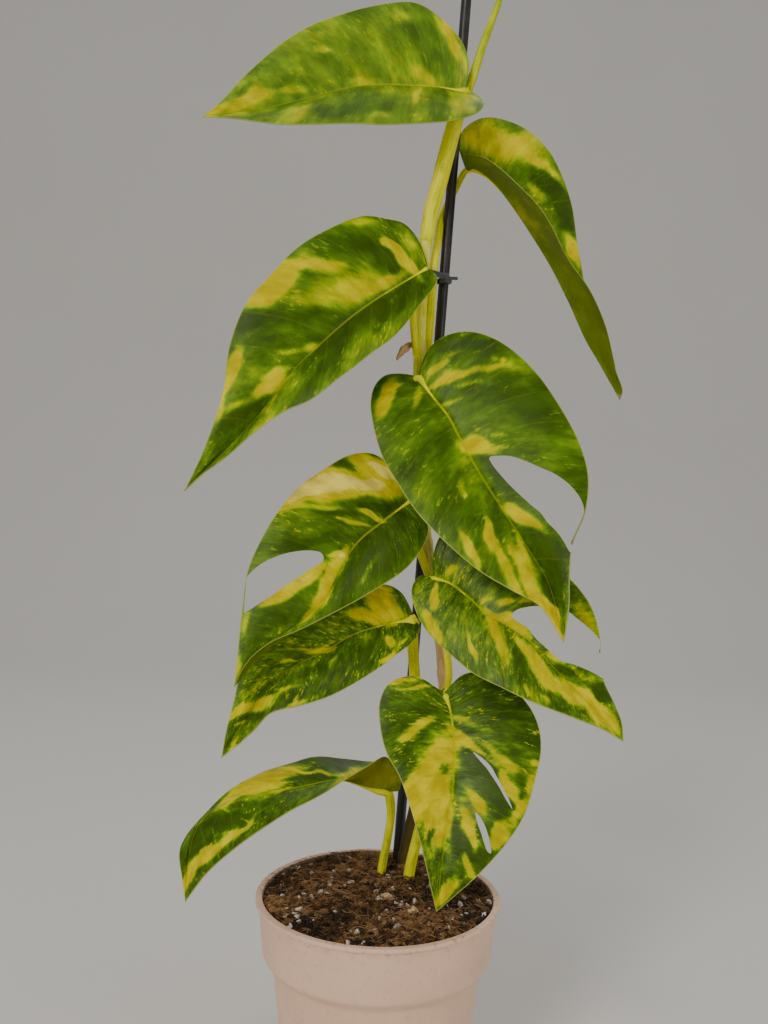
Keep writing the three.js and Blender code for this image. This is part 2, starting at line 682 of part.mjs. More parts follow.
// Potting mix, level with the brim and gently heaped, with stones and grains standing out of it
function soilHeight(x, y) {
  const outward = Math.hypot(x, y) / (insideWall[0][0] - gap)
  const lumps = Math.sin(x * 0.21 + 1) * Math.cos(y * 0.17) + Math.sin((x + y) * 0.37)
  return soil.edgeHeight + soil.mound * (1 - outward ** 2) + soil.lump * lumps * (1 - outward ** 6)
}

function seeded(seed) {
  let state = seed
  return () => {
    state = (state * 1664525 + 1013904223) % 4294967296
    return state / 4294967296
  }
}

function pebble([x, y, length, width, height, turn]) {
  const geometry = new THREE.IcosahedronGeometry(1, 0)
  geometry.scale(length, width, height)
  geometry.rotateZ(turn)
  geometry.translate(x, y, soilHeight(x, y) + height * 0.35)
  return solid(geometry)
}

function soilBody() {
  const side = insideWall.map(([radius, height]) => [radius - gap, height + gap]).reverse()
  const rim = side.pop()
  const top = []
  for (let i = 0; i <= soil.rings; i += 1) {
    top.push([rim[0] * (1 - i / soil.rings), soil.edgeHeight])
  }
  const geometry = revolve([[0, side[0][1]], ...side, ...top], pot.sides)
  const { position } = geometry.attributes
  for (let i = 0; i < position.count; i += 1) {
    const [x, y, z] = [position.getX(i), position.getY(i), position.getZ(i)]
    if (z > soil.edgeHeight - 1) position.setZ(i, soilHeight(x, y))
  }
  let body = solid(geometry)
  const random = seeded(7)
  const grains = []
  while (grains.length < soil.grains) {
    const angle = random() * 2 * Math.PI
    const outward = (rim[0] - 4) * Math.sqrt(random())
    const size = soil.grainSize * (0.8 + 0.5 * random())
    const turn = random() * Math.PI
    const spot = [outward * Math.cos(angle), outward * Math.sin(angle)]
    grains.push([...spot, size, size * 0.8, size * 0.8, turn])
  }
  for (const stone of [...stones, ...grains]) body = body.add(pebble(stone))
  for (const cut of Object.values(stalkCuts)) body = body.subtract(cut)
  return largest(body)
}

group.add(mesh('potting_mix', soilBody(), finishes.mix))

export default group
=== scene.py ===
import math
import random
from bisect import bisect_left

import bpy
import bmesh
from mathutils import Matrix, Vector, noise


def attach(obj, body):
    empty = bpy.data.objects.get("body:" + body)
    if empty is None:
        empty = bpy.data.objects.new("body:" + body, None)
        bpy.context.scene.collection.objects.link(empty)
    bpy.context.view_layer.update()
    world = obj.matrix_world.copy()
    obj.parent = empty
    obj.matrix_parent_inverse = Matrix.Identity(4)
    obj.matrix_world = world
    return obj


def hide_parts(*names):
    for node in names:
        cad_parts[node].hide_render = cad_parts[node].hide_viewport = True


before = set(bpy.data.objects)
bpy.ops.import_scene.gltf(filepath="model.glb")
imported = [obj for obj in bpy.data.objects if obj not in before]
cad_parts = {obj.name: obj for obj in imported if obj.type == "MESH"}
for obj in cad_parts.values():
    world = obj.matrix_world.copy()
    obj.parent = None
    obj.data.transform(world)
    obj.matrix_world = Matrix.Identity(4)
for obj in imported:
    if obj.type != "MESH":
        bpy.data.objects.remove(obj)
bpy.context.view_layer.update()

mm = 0.001  # lengths below are in millimetres until a mesh is made

# Leaf and stalk points are [across, height, depth] seen from the eye point: across and height lie
# in the upright plane through the pot's axis, and depth slides a point along its line of sight.
eye = Vector((-1.6, -457, 293))

leaves = {
    "leaf_1": {
        "joint": [33.5, 501, 22],
        "tip": [-96, 486, -22],
        "midrib": [
            [21, 503.5, 19], [7, 504, 15], [-17.5, 503.5, 6], [-42, 497, -4], [-64, 491, -12],
        ],
        "right": [
            [34.5, 507.5, 20], [34.5, 518, 20], [29.5, 529, 22], [19, 539, 24], [7.5, 545, 24],
            [-4.5, 545, 22], [-27.5, 539, 14], [-50.5, 529, 4], [-64.5, 518, -4],
            [-78, 504.5, -12], [-87, 494, -18],
        ],
        "left": [
            [40.5, 500, 20], [43, 496, 15], [40.5, 492, 9], [34.5, 489, 3], [24, 487, -4],
            [11.5, 486, -9], [-6, 485, -15], [-26, 484.5, -20], [-40.5, 484, -24],
            [-63.5, 484, -27], [-81.5, 485.5, -26],
        ],
    },
    "leaf_2": {
        "joint": [35, 462.7, 41],
        "tip": [113.5, 351, 30],
        "midrib": [
            [38.2, 463.8, 41], [41.6, 463, 40.5], [47.2, 459, 39.5], [52.9, 453.1, 39],
            [60, 444, 38], [68.8, 431.3, 37], [78, 417, 36], [87.1, 399.9, 34.5],
            [96.4, 380.4, 33], [102.6, 370.2, 32],
        ],
        "right": [
            [33.6, 466, 39], [33.9, 470.3, 35], [37.5, 470.8, 28], [45.5, 468.5, 19],
            [59, 458.5, 10], [74.5, 441.5, 6], [87, 420.5, 7], [97.5, 405, 11], [105.5, 388, 17],
            [111.5, 366, 25], [114.8, 355.5, 28.5],
        ],
        "left": [
            [31, 473.5, 43], [32, 481.5, 47], [38.5, 487.5, 50], [47, 489.5, 52], [61, 486, 53],
            [73.5, 476, 52], [82, 463, 50], [88, 447, 47], [91.5, 425, 43], [97, 400, 38],
            [106, 374.5, 33], [111.6, 357.5, 30.8],
        ],
    },
    "leaf_3": {
        "joint": [17, 414, 12],
        "tip": [-100.5, 301, -30],
        "midrib": [
            [3.5, 405.5, 8], [-6.5, 399, 4], [-18, 390.5, 0], [-32, 378, -6], [-50.5, 359, -13],
            [-61.5, 343, -18], [-81.5, 320.5, -24],
        ],
        "right": [
            [15, 421, 12], [11, 429.5, 13], [4.5, 436, 13], [-4.5, 438, 12], [-16, 439, 10],
            [-33, 432, 5], [-48, 422.5, 1], [-61.5, 408, -4], [-73, 393, -8], [-80, 373.5, -13],
            [-83, 349, -20], [-91, 323, -27],
        ],
        "left": [
            [22, 409.5, 8], [19.5, 403.5, 2], [13.5, 396, -4], [8.5, 388.5, -9], [0, 379, -16],
            [-11.5, 370.5, -21], [-23, 361, -26], [-39.5, 347.5, -31], [-52.5, 341.5, -33],
            [-66.5, 331.5, -34], [-81.5, 317.5, -33], [-91.5, 309.5, -32],
        ],
    },
    "leaf_4": {
        "joint": [13.5, 360, 10],
        "tip": [89, 230.5, -43],
        "midrib": [
            [21.5, 350, 7], [29, 341, 4], [34, 332, 1], [44, 315, -6], [56, 297, -14],
            [67.5, 280, -22], [80, 260.5, -32],
        ],
        "right": [
            [5.5, 361.5, 11], [-2.5, 360.5, 10], [-7.5, 355.5, 8], [-9.5, 347, 5],
            [-7.5, 333.5, 0], [-3, 320, -5], [5, 307, -10], [15, 293, -16], [28, 280, -22],
            [45, 266, -31], [62.5, 256, -37], [77, 248, -41],
        ],
        "left": [
            [15.5, 367.5, 12], [19, 375, 13], [26.5, 381, 13], [37.5, 383.5, 11], [49, 381, 8],
            [61, 374, 4], [74, 361.5, 0], [85, 346, -7], [94.5, 329, -14], [99, 313.5, -20],
            [98, 295.5, -27], [92, 279, -34], [91, 264.5, -38], [91, 249, -41],
        ],
        "slits": [[
            [49.8, 321.2], [54.3, 322.2], [60.7, 322], [67.2, 320.1], [73.8, 317.4],
            [81.6, 314.2], [88.2, 310], [93.2, 305], [96.2, 300.1], [97.2, 295.9], [96, 291.5],
            [94.1, 287], [92.2, 282.5], [91.2, 279.6], [94.1, 277.9], [91, 275.4], [89.4, 277.4],
            [87.5, 280.7], [83.6, 285.8], [79.6, 289.5], [75.6, 294.6], [71.7, 297.6],
            [65.7, 302.8], [60.5, 307.5], [55.1, 313.2], [51.2, 318],
        ]],
    },
    "leaf_5": {
        "joint": [12, 299.5, 15],
        "tip": [-73.5, 205, -26],
        "midrib": [
            [-2.5, 288, 8], [-13, 279, 4], [-20.5, 268, 0], [-25, 255, -6], [-33, 244, -10],
            [-46.5, 233, -15], [-60, 221.5, -20],
        ],
        "right": [
            [7, 308, 15], [0.5, 317, 14], [-9, 322, 13], [-20, 320.5, 11], [-32.5, 313, 8],
            [-44.5, 304, 5], [-54, 292, 1], [-61.5, 279, -3], [-68.5, 262, -9], [-70.5, 244, -14],
            [-72, 225.5, -21],
        ],
        "left": [
            [16.5, 294.5, 11], [20.5, 285.5, 6], [18, 276.5, 1], [10.5, 266, -5], [-1.5, 257, -10],
            [-16, 248, -14], [-29.5, 240.5, -19], [-43.5, 233, -24], [-58, 226, -28],
            [-68, 217, -29],
        ],
        "slits": [[
            [-68.5, 259], [-66.3, 261.9], [-61.6, 265.9], [-55.7, 269.1], [-49.8, 271.3],
            [-43.9, 272.6], [-36.7, 273.1], [-32.6, 272.3], [-31, 270.5], [-31.1, 268.3],
            [-33.1, 266.5], [-37.7, 263.6], [-43.6, 259.2], [-49.5, 255.4], [-55.3, 250.9],
            [-61.2, 246.9], [-66.8, 243.1], [-69.4, 241.7], [-69.5, 244.9], [-69.3, 249.3],
            [-68.9, 254.3],
        ]],
    },
    "leaf_6": {
        "joint": [14.5, 240.5, 12],
        "tip": [-79, 169.5, -17],
        "midrib": [
            [-1, 237, 9], [-15.5, 232, 5], [-29, 223.5, 1], [-43, 216.5, -3], [-57.5, 204.5, -8],
        ],
        "right": [
            [12, 247, 12], [8.5, 253, 11], [1.5, 257, 10], [-11.5, 256, 8], [-28, 250, 5],
            [-44.5, 240, 1], [-60.5, 227, -4], [-70, 214, -8], [-73.5, 198.5, -12],
            [-77, 183, -15],
        ],
        "left": [
            [17.5, 236, 10], [14.5, 229.5, 4], [6.5, 223, -2], [-1.5, 216.5, -6],
            [-15, 207.5, -12], [-28.5, 200.5, -16], [-41, 196.5, -19], [-55.5, 192, -21],
            [-63.5, 183.5, -21], [-72, 175.5, -19],
        ],
    },
    "leaf_7": {
        "joint": [22.5, 261, 9],
        "tip": [119.5, 182.5, -23],
        "midrib": [
            [31, 259, 6], [41, 252, 2], [49.5, 244.5, -3], [57, 240.5, -6], [70, 232.5, -11],
            [84, 218, -16], [99, 204, -19],
        ],
        "right": [
            [17, 262, 9], [13, 256, 7], [14.5, 246.5, 3], [19.5, 236.5, -1], [26, 229.5, -5],
            [34.5, 222, -10], [45, 214, -16], [58, 208, -22], [71, 202, -25], [85, 197, -27],
            [99, 192, -27], [110.5, 187.5, -25],
        ],
        "left": [
            [22.9, 267.5, 10], [23.7, 274.5, 10.5], [27, 282.5, 10.5], [34.5, 285.5, 9.5],
            [45.5, 283.5, 7.5], [61, 278.5, 4], [78.5, 271, 0], [92, 261.5, -4], [102.5, 248, -8],
            [107, 232.5, -12], [107.2, 226.5, -13.5], [109, 213, -17], [115, 200.5, -20],
            [118.5, 192, -22],
        ],
        "slits": [[
            [62.8, 243.2], [64.4, 245.8], [69.3, 247.6], [75.8, 248.5], [83.3, 248.3],
            [90.5, 246.1], [95.1, 242.7], [100.8, 238.3], [104.3, 235], [106.5, 232.1],
            [106.8, 229.4], [106.4, 226.2], [111.2, 226.1], [112.5, 214.7], [108.7, 213.5],
            [105.5, 215.2], [99.9, 217.8], [94.3, 219.9], [88.7, 221.2], [85.1, 223.4],
            [80.2, 227.8], [75.2, 232.1], [70.2, 237.9], [66, 240.3],
        ]],
    },
    "leaf_8": {
        "joint": [30, 204.5, 0],
        "tip": [29, 96, -27],
        "midrib": [
            [33, 197.5, -1], [35.5, 183.5, -4], [36, 168.5, -8], [35.5, 156, -12],
            [33.5, 141.5, -16], [31, 119.5, -22],
        ],
        "right": [
            [25, 207.5, 2], [18, 212, 3], [10, 212, 3], [2.5, 208, 1], [-1.5, 199.5, -2],
            [-1, 187, -7], [2.5, 174, -11], [9, 163, -15], [14, 150.5, -19], [18.5, 136.5, -23],
            [23, 120.5, -26], [26.5, 107, -27],
        ],
        "left": [
            [33.5, 207, 1], [39, 213.5, 3], [48.5, 215, 3], [60, 210.5, 1], [70, 202, -2],
            [76.5, 191.5, -6], [79, 178.5, -11], [76.5, 162.5, -16], [71.5, 145, -21],
            [63.5, 131.5, -24], [51.5, 117, -26], [38.5, 104.5, -27],
        ],
        "slits": [
            [
                [45.3, 175.6], [48.5, 173.7], [51.5, 171.4], [54.4, 168.5], [57, 164.2],
                [60.3, 158.4], [63.4, 152.9], [65.4, 147.7], [61.9, 152.8], [58.8, 158.2],
                [55.3, 163.3], [52.1, 167.8], [48.6, 171.5],
            ],
            [
                [47.2, 145.7], [50.3, 142.6], [52.8, 137.3], [54.6, 131.6], [55.3, 125.7],
                [53.7, 126.5], [51.9, 130.5], [50.4, 135.2], [48.4, 140.3],
            ],
        ],
    },
    "leaf_9": {
        "joint": [3, 155, 6],
        "tip": [-95, 98, -20],
        "midrib": [
            [-10, 158.5, 3], [-18.5, 160.5, 0], [-34.5, 157.5, -3], [-53.5, 153, -7],
            [-74, 147.5, -12], [-87.5, 139.5, -15], [-93.5, 123.5, -18],
        ],
        "right": [
            [7, 159.5, 11], [7, 165.5, 17], [1.5, 169.5, 20], [-7.5, 170, 21], [-19.5, 171, 20],
            [-32.5, 171.5, 18], [-45, 168, 14], [-60.5, 162.5, 7], [-74, 154.5, -1],
            [-85, 144, -8], [-94, 133.5, -14], [-98.5, 123.5, -18], [-97, 110, -20],
        ],
        "left": [
            [8.5, 155.5, 5], [10, 160.5, 2], [6.5, 168.5, -1], [1.5, 172.5, -5], [-7, 167.5, -10],
            [-19, 160, -16], [-32, 151, -21], [-46.5, 143.5, -25], [-60, 134, -28],
            [-73.5, 123, -29], [-85.5, 111.5, -26],
        ],
    },
}

# Leaf stalks from the stem or the soil up to their blade, with the radius at each end
petioles = {
    "leaf_1": {
        "radius": [3.6, 4.1, 4.3, 4.2, 2.6],
        "path": [
            [16, 428, 22], [17.8, 440.5, 22], [21.2, 454, 22], [25.4, 472.5, 22],
            [29.1, 487.5, 22.5], [31.5, 496.5, 23], [34, 501, 22.5],
        ],
    },
    "leaf_2": {
        "radius": [2.4, 2.2, 1.5],
        "path": [
            [17.5, 372.5, 24], [19, 388.5, 24], [19.5, 403, 25], [20.5, 418, 27],
            [22, 429.5, 30.5], [23, 438, 36], [25, 444, 40], [28.5, 450.5, 42], [32.6, 459.3, 42],
            [34.7, 462.4, 41.7],
        ],
    },
    "leaf_3": {
        "radius": [1.9, 1.7],
        "path": [
            [12.5, 371, 20], [10.5, 388, 16], [10.5, 398, 15], [13, 408, 13], [17, 413.5, 12.5],
        ],
    },
    "leaf_4": {
        "radius": [2.4, 2],
        "path": [
            [17.5, 312, 22], [12, 326.5, 16], [10.5, 346, 14], [11.5, 355.5, 12],
            [13.5, 359.5, 10],
        ],
    },
    "leaf_5": {
        "radius": [2.3, 1.9],
        "path": [[22, 261, 23], [16, 275.5, 20], [12.5, 288.5, 18], [12, 299, 16]],
    },
    "leaf_6": {
        "radius": [3.1, 2.7],
        "path": [
            [22.5, 168.5, 30], [18, 183.5, 25], [16, 200.5, 21], [15.5, 212.5, 19], [14, 230, 16],
            [13.5, 237, 14], [14.5, 240, 12],
        ],
    },
    "leaf_7": {
        "radius": [2, 1.8],
        "path": [
            [30.5, 200, 22], [31.8, 207.5, 18.5], [32.4, 214.5, 16.5], [31.6, 221.5, 16],
            [30.4, 229, 15.5], [28.5, 238, 15], [25.5, 253, 12], [23, 260.5, 10],
        ],
    },
    "leaf_8": {
        "radius": [3, 2.1],
        "buried": 16,
        "path": [
            [15, 113, 14], [19, 133.5, 13], [24.5, 158.5, 12], [29, 183.5, 10], [32.5, 198.5, 6],
            [31, 204.5, 1],
        ],
    },
    "leaf_9": {
        "radius": [2.3, 2],
        "buried": 16,
        "path": [[1.5, 115, 20], [4, 131, 17], [5.5, 143.5, 13], [5, 150, 10], [3.5, 154.5, 7]],
    },
}

stemRoute = [
    [12, 119.5, 33], [16.5, 145, 31], [23, 171, 27], [30.4, 198.5, 23], [29.6, 214.5, 22],
    [28, 229.5, 22], [23.2, 255, 23], [20.5, 273.5, 24], [18, 294.5, 24], [16, 314, 23],
    [14.5, 339, 22], [14, 361, 22], [14, 383.5, 22], [14.5, 403, 22], [16, 428, 22],
]
stakeFoot = [9.2, 121, 42]
stakeTop = [33.8, 563, 32]
spearPath = [
    [33.5, 499, 27.5], [37, 509, 27.5], [41.9, 525.5, 28], [49.3, 547.5, 29], [53, 563, 29],
]
spearRadii = [2.6, 2.3, 2, 1.6, 0.5]
rootPath = [
    [10.7, 376.6, 23], [8.5, 375.3, 20.5], [6.1, 373.2, 18.5], [4.4, 371, 17], [3, 368.5, 16],
]
rootRadii = [1.1, 1.6, 2.3, 1.5, 0.6]

# Stones pressed into the potting mix: [x, y, half length, half width, half height, turn, tone]
stones = [
    [4.5, -10, 3.6, 2.4, 1.8, 0.1, "tan"], [17, -24, 2.2, 1.9, 1.6, 0.9, "cream"],
    [15, -26, 1.3, 1.3, 1.2, 0.2, "cream"], [16.4, -21.5, 1.4, 1.2, 1.3, 0.6, "cream"],
    [-14, 7, 3.2, 1.3, 1.1, 0.9, "pale"], [9, -40, 2.4, 1.5, 1.2, 1, "grey"],
]

# Patches laid over each blade: [across, height, half length, half width, turn, strength],
# with yellow above zero and dark green below
patches = {
    "leaf_1": [
        [-76.1, 494.1, 14.2, 4.3, 21, 0.37], [-51.7, 500.4, 5.9, 2.5, 11, 0.31],
        [-50.5, 488.1, 10.4, 3.2, 19, 0.28], [-89.3, 489.5, 6.6, 2.1, 29, 0.37],
        [-38, 521, 4.3, 1.5, 1, 0.28], [-16.8, 505, 7.6, 1.9, 1, 0.22],
        [11.4, 509.5, 7.6, 3, -39, 0.28], [9.8, 498.6, 4.7, 1.7, 81, 0.25],
        [2.2, 537.6, 5.7, 3.4, -29, 0.31], [27.1, 525, 14.2, 2.6, -61, 0.34],
        [32.6, 495.8, 5.7, 5.7, 1, 0.28], [-7.9, 488.7, 5.7, 1.5, 6, 0.19],
        [-33.5, 490.9, 9.5, 4.5, 1, -0.32], [20.2, 497.4, 6.6, 4.7, 61, -0.32],
        [-12.7, 492.8, 9.5, 4.3, 1, -0.24], [17.9, 515.3, 11.3, 5.3, -59, -0.2],
        [-58.4, 504, 7.6, 2.1, 11, -0.16], [-18.6, 539.9, 10.4, 2.8, 11, -0.16],
        [-76.3, 499.8, 6.6, 1.7, 36, -0.24],
    ],
    "leaf_2": [
        [49.7, 477.3, 17.9, 8.9, -14, 0.5], [58.2, 475.8, 10.2, 3.1, 23, 0.35],
        [72.9, 465.9, 11.1, 2.7, -37, 0.55], [55.4, 484.6, 5.1, 2.9, 1, -0.25],
        [76.6, 454.9, 12.8, 5.3, -51, -0.8], [85.4, 441.5, 11.9, 3.9, -71, -0.6],
        [69.8, 453.5, 5.1, 1.9, -39, 0.35], [88, 425.4, 7.7, 2.2, -69, 0.8],
        [65.9, 440.2, 11.1, 2, -49, 0.35], [32.3, 457.3, 5.1, 2.6, 71, 0.7],
    ],
    "leaf_3": [
        [-57.5, 404.8, 14.9, 6, 49, 0.95], [-64.2, 398.7, 10.2, 3.9, 26, 0.9],
        [-33, 413.5, 9.8, 3.1, -5, 0.5], [-43.3, 415.4, 7.2, 3.9, 1, 0.35],
        [-20, 401.5, 29.8, 7.7, 7, 0.28], [-0.5, 407.1, 11.9, 2.6, 27, 0.45],
        [4.3, 419.1, 11.9, 2.7, -49, 1.1], [-2.3, 425.7, 4.3, 1.9, -19, 0.7],
        [-26.5, 426.8, 18.7, 6.1, 1, -0.55], [-4.2, 418, 11.1, 4.3, -41, -0.65],
        [9.3, 423.5, 11.1, 2.9, -54, 0.22], [-16.6, 436, 10.2, 1.9, 6, 0.3],
        [-53.7, 388.7, 20.4, 5.1, 7, -0.6], [-70.7, 387.5, 7.7, 5.1, 61, -0.4],
        [-63.6, 377.4, 15.3, 5.1, 1, -0.2], [-38.9, 374.2, 4.9, 1.9, 16, 0.5],
        [-51.6, 371.8, 6, 1.4, 1, 0.35], [-56.4, 360.6, 6, 2.2, 21, 0.4],
        [-60.5, 353.2, 8.5, 3.1, 39, 0.85], [-28.4, 398.7, 28.1, 9.4, 21, 0.12],
        [-77.8, 364.3, 10.2, 2.7, 73, 0.65], [-83.7, 344.6, 10.2, 1.9, 81, 0.6],
        [-74.7, 344.4, 6.8, 2, 36, 0.35], [-68, 345.4, 10.2, 3.4, 51, -0.45],
        [-81.2, 331.9, 10.2, 3.7, 61, -0.4], [-0.3, 397.7, 20.4, 7.7, 39, -0.85],
        [-27.8, 374.9, 18.7, 7.1, 49, -0.5], [1.7, 385, 11.1, 1.5, 51, 0.12],
        [-40.2, 359.3, 12.8, 2.9, 53, 0.16], [-52.8, 351.3, 13.6, 2.6, 48, 0.15],
        [-65.9, 331.4, 14.5, 2.2, 49, 0.18],
    ],
    "leaf_4": [
        [35.7, 376.8, 18.1, 4.3, -9, -0.35], [23.4, 365.4, 5.1, 1.7, 31, 0.6],
        [29.5, 371.9, 7.1, 1.4, 26, 0.3], [26.7, 358.8, 8.7, 1.6, 26, 0.65],
        [42.3, 364.3, 13.4, 1.7, 7, 0.5], [62, 365.6, 11.8, 2.5, -7, 0.22],
        [39.4, 357, 9.5, 1, 4, 0.35], [54.8, 370.1, 5.5, 1.1, -9, 0.4],
        [-2.6, 349, 9.5, 3.3, 71, 0.85], [2.3, 355.9, 3.9, 1.4, 21, 0.4],
        [13.1, 350.2, 6.3, 1.7, 76, 0.35], [29.3, 347.3, 4.7, 0.9, 6, 0.35],
        [52.1, 351.2, 22.1, 5.5, -4, -0.4], [78.4, 337.6, 19.7, 7.1, -44, -0.3],
        [34.7, 320.8, 18.9, 9.5, -69, 0.1], [44, 326.5, 8.7, 3.6, -9, 0.85],
        [55.9, 325.9, 3.9, 0.7, -9, 0.35], [53.4, 331.9, 4.7, 0.8, -9, 0.3],
        [27.7, 319, 18.1, 4.1, 89, -0.2], [55.4, 311, 15, 3, -51, -0.5],
        [67, 291.6, 11.8, 2.7, -33, 0.8], [49.8, 284.9, 7.1, 2, -84, 0.75],
        [41.4, 274.5, 10.2, 2, -59, 0.8], [36.7, 305.1, 4.7, 1.2, -87, 0.3],
        [81.6, 274.6, 16.5, 6.3, -61, -0.5], [8.6, 357.2, 4.7, 1.6, 1, -0.3],
        [14.7, 334.5, 9.5, 4.7, 71, 0.08], [58.3, 267.8, 14.5, 2.5, -61, 0.6],
        [69.2, 264.4, 16.7, 3.8, -59, 0.55], [67.5, 276.7, 10.9, 1.6, -61, 0.4],
        [77.5, 250.1, 10.9, 2.6, -47, 0.9], [85, 240.9, 10.1, 1.7, -65, 0.7],
        [83, 263.3, 18.8, 4.8, -79, -0.6], [52.7, 259.7, 8, 1.4, -54, -0.3],
    ],
    "leaf_5": [
        [-24, 306.9, 23.6, 6.7, 7, 1.3], [-46.1, 300.1, 11.8, 3.7, 31, 1.15],
        [-3.2, 304.6, 11.8, 4.2, -11, 0.75], [-9.8, 318.3, 11.1, 3.2, -11, 0.65],
        [-2, 313, 9, 3.1, -34, 0.9], [-18.7, 314.6, 8, 2.2, -14, -0.8],
        [-29.8, 315.1, 7.6, 1.7, 26, -0.2], [-6.1, 309.4, 10.4, 1, -15, -0.9],
        [-4.4, 295.6, 9, 1.5, 3, -1.3], [-23, 291.8, 10.4, 1.2, -7, -0.6],
        [-32.8, 294.9, 11.1, 1.7, -2, 0.4], [-7, 290.7, 7.6, 1.2, -23, 0.9],
        [-16.6, 287.5, 8.3, 0.8, -11, 0.45], [-52.6, 281.9, 17.3, 5.5, 41, 0.06],
        [-43.4, 275.9, 15.3, 2.9, 19, -0.45], [-23.4, 279.9, 11.1, 3.3, 1, -0.35],
        [-23.2, 270.9, 4.9, 1.2, -4, 0.75], [-43, 257.5, 15.3, 3.2, 34, 1.05],
        [-28.4, 256.9, 12.5, 2.9, 65, 0.95], [-21.1, 270.2, 4.2, 1.8, 71, 0.5],
        [-2.4, 273.4, 23.6, 11.4, 53, -0.5], [-9.1, 262.9, 8.3, 1.2, 61, 0.4],
        [-57.5, 248.3, 4.3, 1.6, 36, 0.5], [-53.6, 239, 16.7, 5.1, 43, -0.4],
        [-69.5, 235.7, 6.2, 1.7, 76, 0.35], [-73.3, 213.9, 7.2, 2.2, 76, 0.4],
        [-37.7, 240.1, 5.8, 1.6, 53, 0.55],
    ],
    "leaf_6": [
        [-1, 248.6, 12.3, 4.6, -47, 0.8], [-8, 241.6, 9.4, 3.5, -14, 0.8],
        [-0.4, 255.5, 3.3, 1.7, -19, 1.1], [-30.8, 223.6, 6.5, 1.4, 9, 0.55],
        [-28.7, 226.6, 4.3, 0.9, 31, 0.45], [-46.6, 218.2, 4.3, 0.7, 6, 0.45],
        [-39.5, 223, 2.9, 0.7, 1, 0.4], [-24.2, 218.7, 5.1, 0.9, 66, 0.45],
        [2.8, 229.9, 2.6, 2.3, 1, 0.75], [2.2, 221.2, 5.1, 1.3, 41, 0.7],
        [9.3, 229.3, 3, 0.8, 31, 0.45], [-59.8, 196.1, 5.8, 2.5, 26, 0.75],
        [-70.6, 192.9, 6.9, 1.3, 36, 0.6], [-52.7, 201, 5.8, 1.1, 36, 0.45],
        [-42.5, 197.6, 6.2, 0.9, 21, 0.7], [-49.2, 204.7, 4.5, 0.9, 11, 0.4],
        [-16.9, 216.7, 16.7, 8, 36, -0.3], [-38.4, 206.8, 13.8, 4.3, 36, -0.25],
        [11.6, 237.7, 6.5, 2.9, 1, -0.35], [-63.3, 190.9, 4.3, 1.4, 11, -0.4],
        [-74.8, 174.1, 7.9, 1.7, 61, 0.6], [-69.1, 187.5, 3, 0.9, 26, 0.6],
        [-65.2, 190.9, 6, 2.4, 26, -0.4],
    ],
    "leaf_7": [
        [26.2, 275, 8, 8, 1, -0.5], [25.3, 251, 6.2, 1.6, 86, 0.75],
        [23.5, 237.9, 8.7, 2.3, -59, 0.75], [26.5, 232.2, 4.3, 1.4, -79, 0.4],
        [44, 226.8, 6.9, 1.4, -75, 0.75], [54, 236.5, 10.1, 1.9, -67, 0.6],
        [59.3, 227.2, 10.9, 2.5, -71, 0.35], [33, 265, 4.5, 2.3, 51, 0.5],
        [56.7, 243.1, 8.7, 1.7, -14, 0.55], [64.7, 239.7, 8, 2.8, -37, 0.8],
        [55.6, 259.7, 13.8, 4.3, -11, -0.4], [60.8, 251.2, 4.3, 1.4, 1, 0.6],
        [51.4, 250.9, 3.6, 0.7, 26, 0.35], [55.9, 247.1, 8, 1.6, -4, -0.4],
        [71, 250, 4.5, 1.2, -4, 0.5], [92.6, 256.3, 8, 4.3, -49, -0.25],
        [99.5, 242.7, 8.7, 3.2, -51, 0.3], [76.5, 217, 12.3, 2.8, -59, 0.8],
        [68.2, 229, 5.2, 1.4, -59, 0.6], [89, 207.8, 9, 4.3, -39, 0.6],
        [100.5, 202.4, 11.8, 4.3, -35, 0.75], [110.2, 192.7, 9, 4.3, -41, 0.8],
        [97.8, 215.6, 7.6, 1.2, -19, 0.35], [83.9, 222.8, 6.1, 1.6, -24, 0.5],
        [88.8, 216.8, 6.1, 1.9, -11, -0.8], [107, 206.3, 6.1, 3.3, -54, -0.95],
        [76.2, 230.2, 7.6, 1.7, -49, -0.2], [86.3, 201.1, 10.9, 2.4, -37, -0.5],
        [66.1, 218.6, 9.9, 2.8, -71, -0.35], [80.2, 202.9, 2.8, 0.9, -39, 0.4],
        [71.6, 206.4, 4.3, 0.9, -49, 0.5],
    ],
    "leaf_8": [
        [27.2, 165, 18.1, 8.3, 73, 1], [23.9, 151.9, 13, 9.1, 81, 0.9],
        [30, 141.2, 12.3, 5.8, 81, 0.8], [18, 159, 6.5, 3.6, 31, 0.9],
        [31.3, 176.7, 7.2, 3.6, 39, 0.9], [30.8, 165.9, 5.1, 3, 69, -1.6],
        [26.7, 156.3, 4.5, 0.9, 51, -1.2], [26.6, 133.8, 4.5, 1.1, 51, -1.1],
        [30.7, 141.2, 2.9, 0.9, 51, -0.8], [18.7, 188, 8, 2.2, 26, 0.7],
        [11.6, 182.1, 5.8, 1.7, 21, 0.7], [25.9, 190.4, 2.9, 0.7, 1, 0.35],
        [6.2, 209.9, 3.8, 1.6, 21, 1], [16.8, 206.7, 9.4, 1, 7, 0.45],
        [16.7, 211.2, 8.7, 1, 1, 0.35], [40.6, 181.7, 9.4, 2.2, -44, 1],
        [49.5, 174.3, 6.5, 1, -39, 0.7], [44.8, 189.4, 8.7, 1.4, -14, 0.35],
        [58.2, 173.1, 9.4, 2, -39, 0.45], [65.3, 167.4, 6.5, 1.7, -39, 0.45],
        [38.2, 192.9, 4.3, 1.3, -19, 0.45], [75.1, 172, 2.5, 1.9, 1, 0.85],
        [62.9, 159.4, 12.3, 2, -59, 0.8], [73.9, 156, 8, 2.3, 81, 0.6],
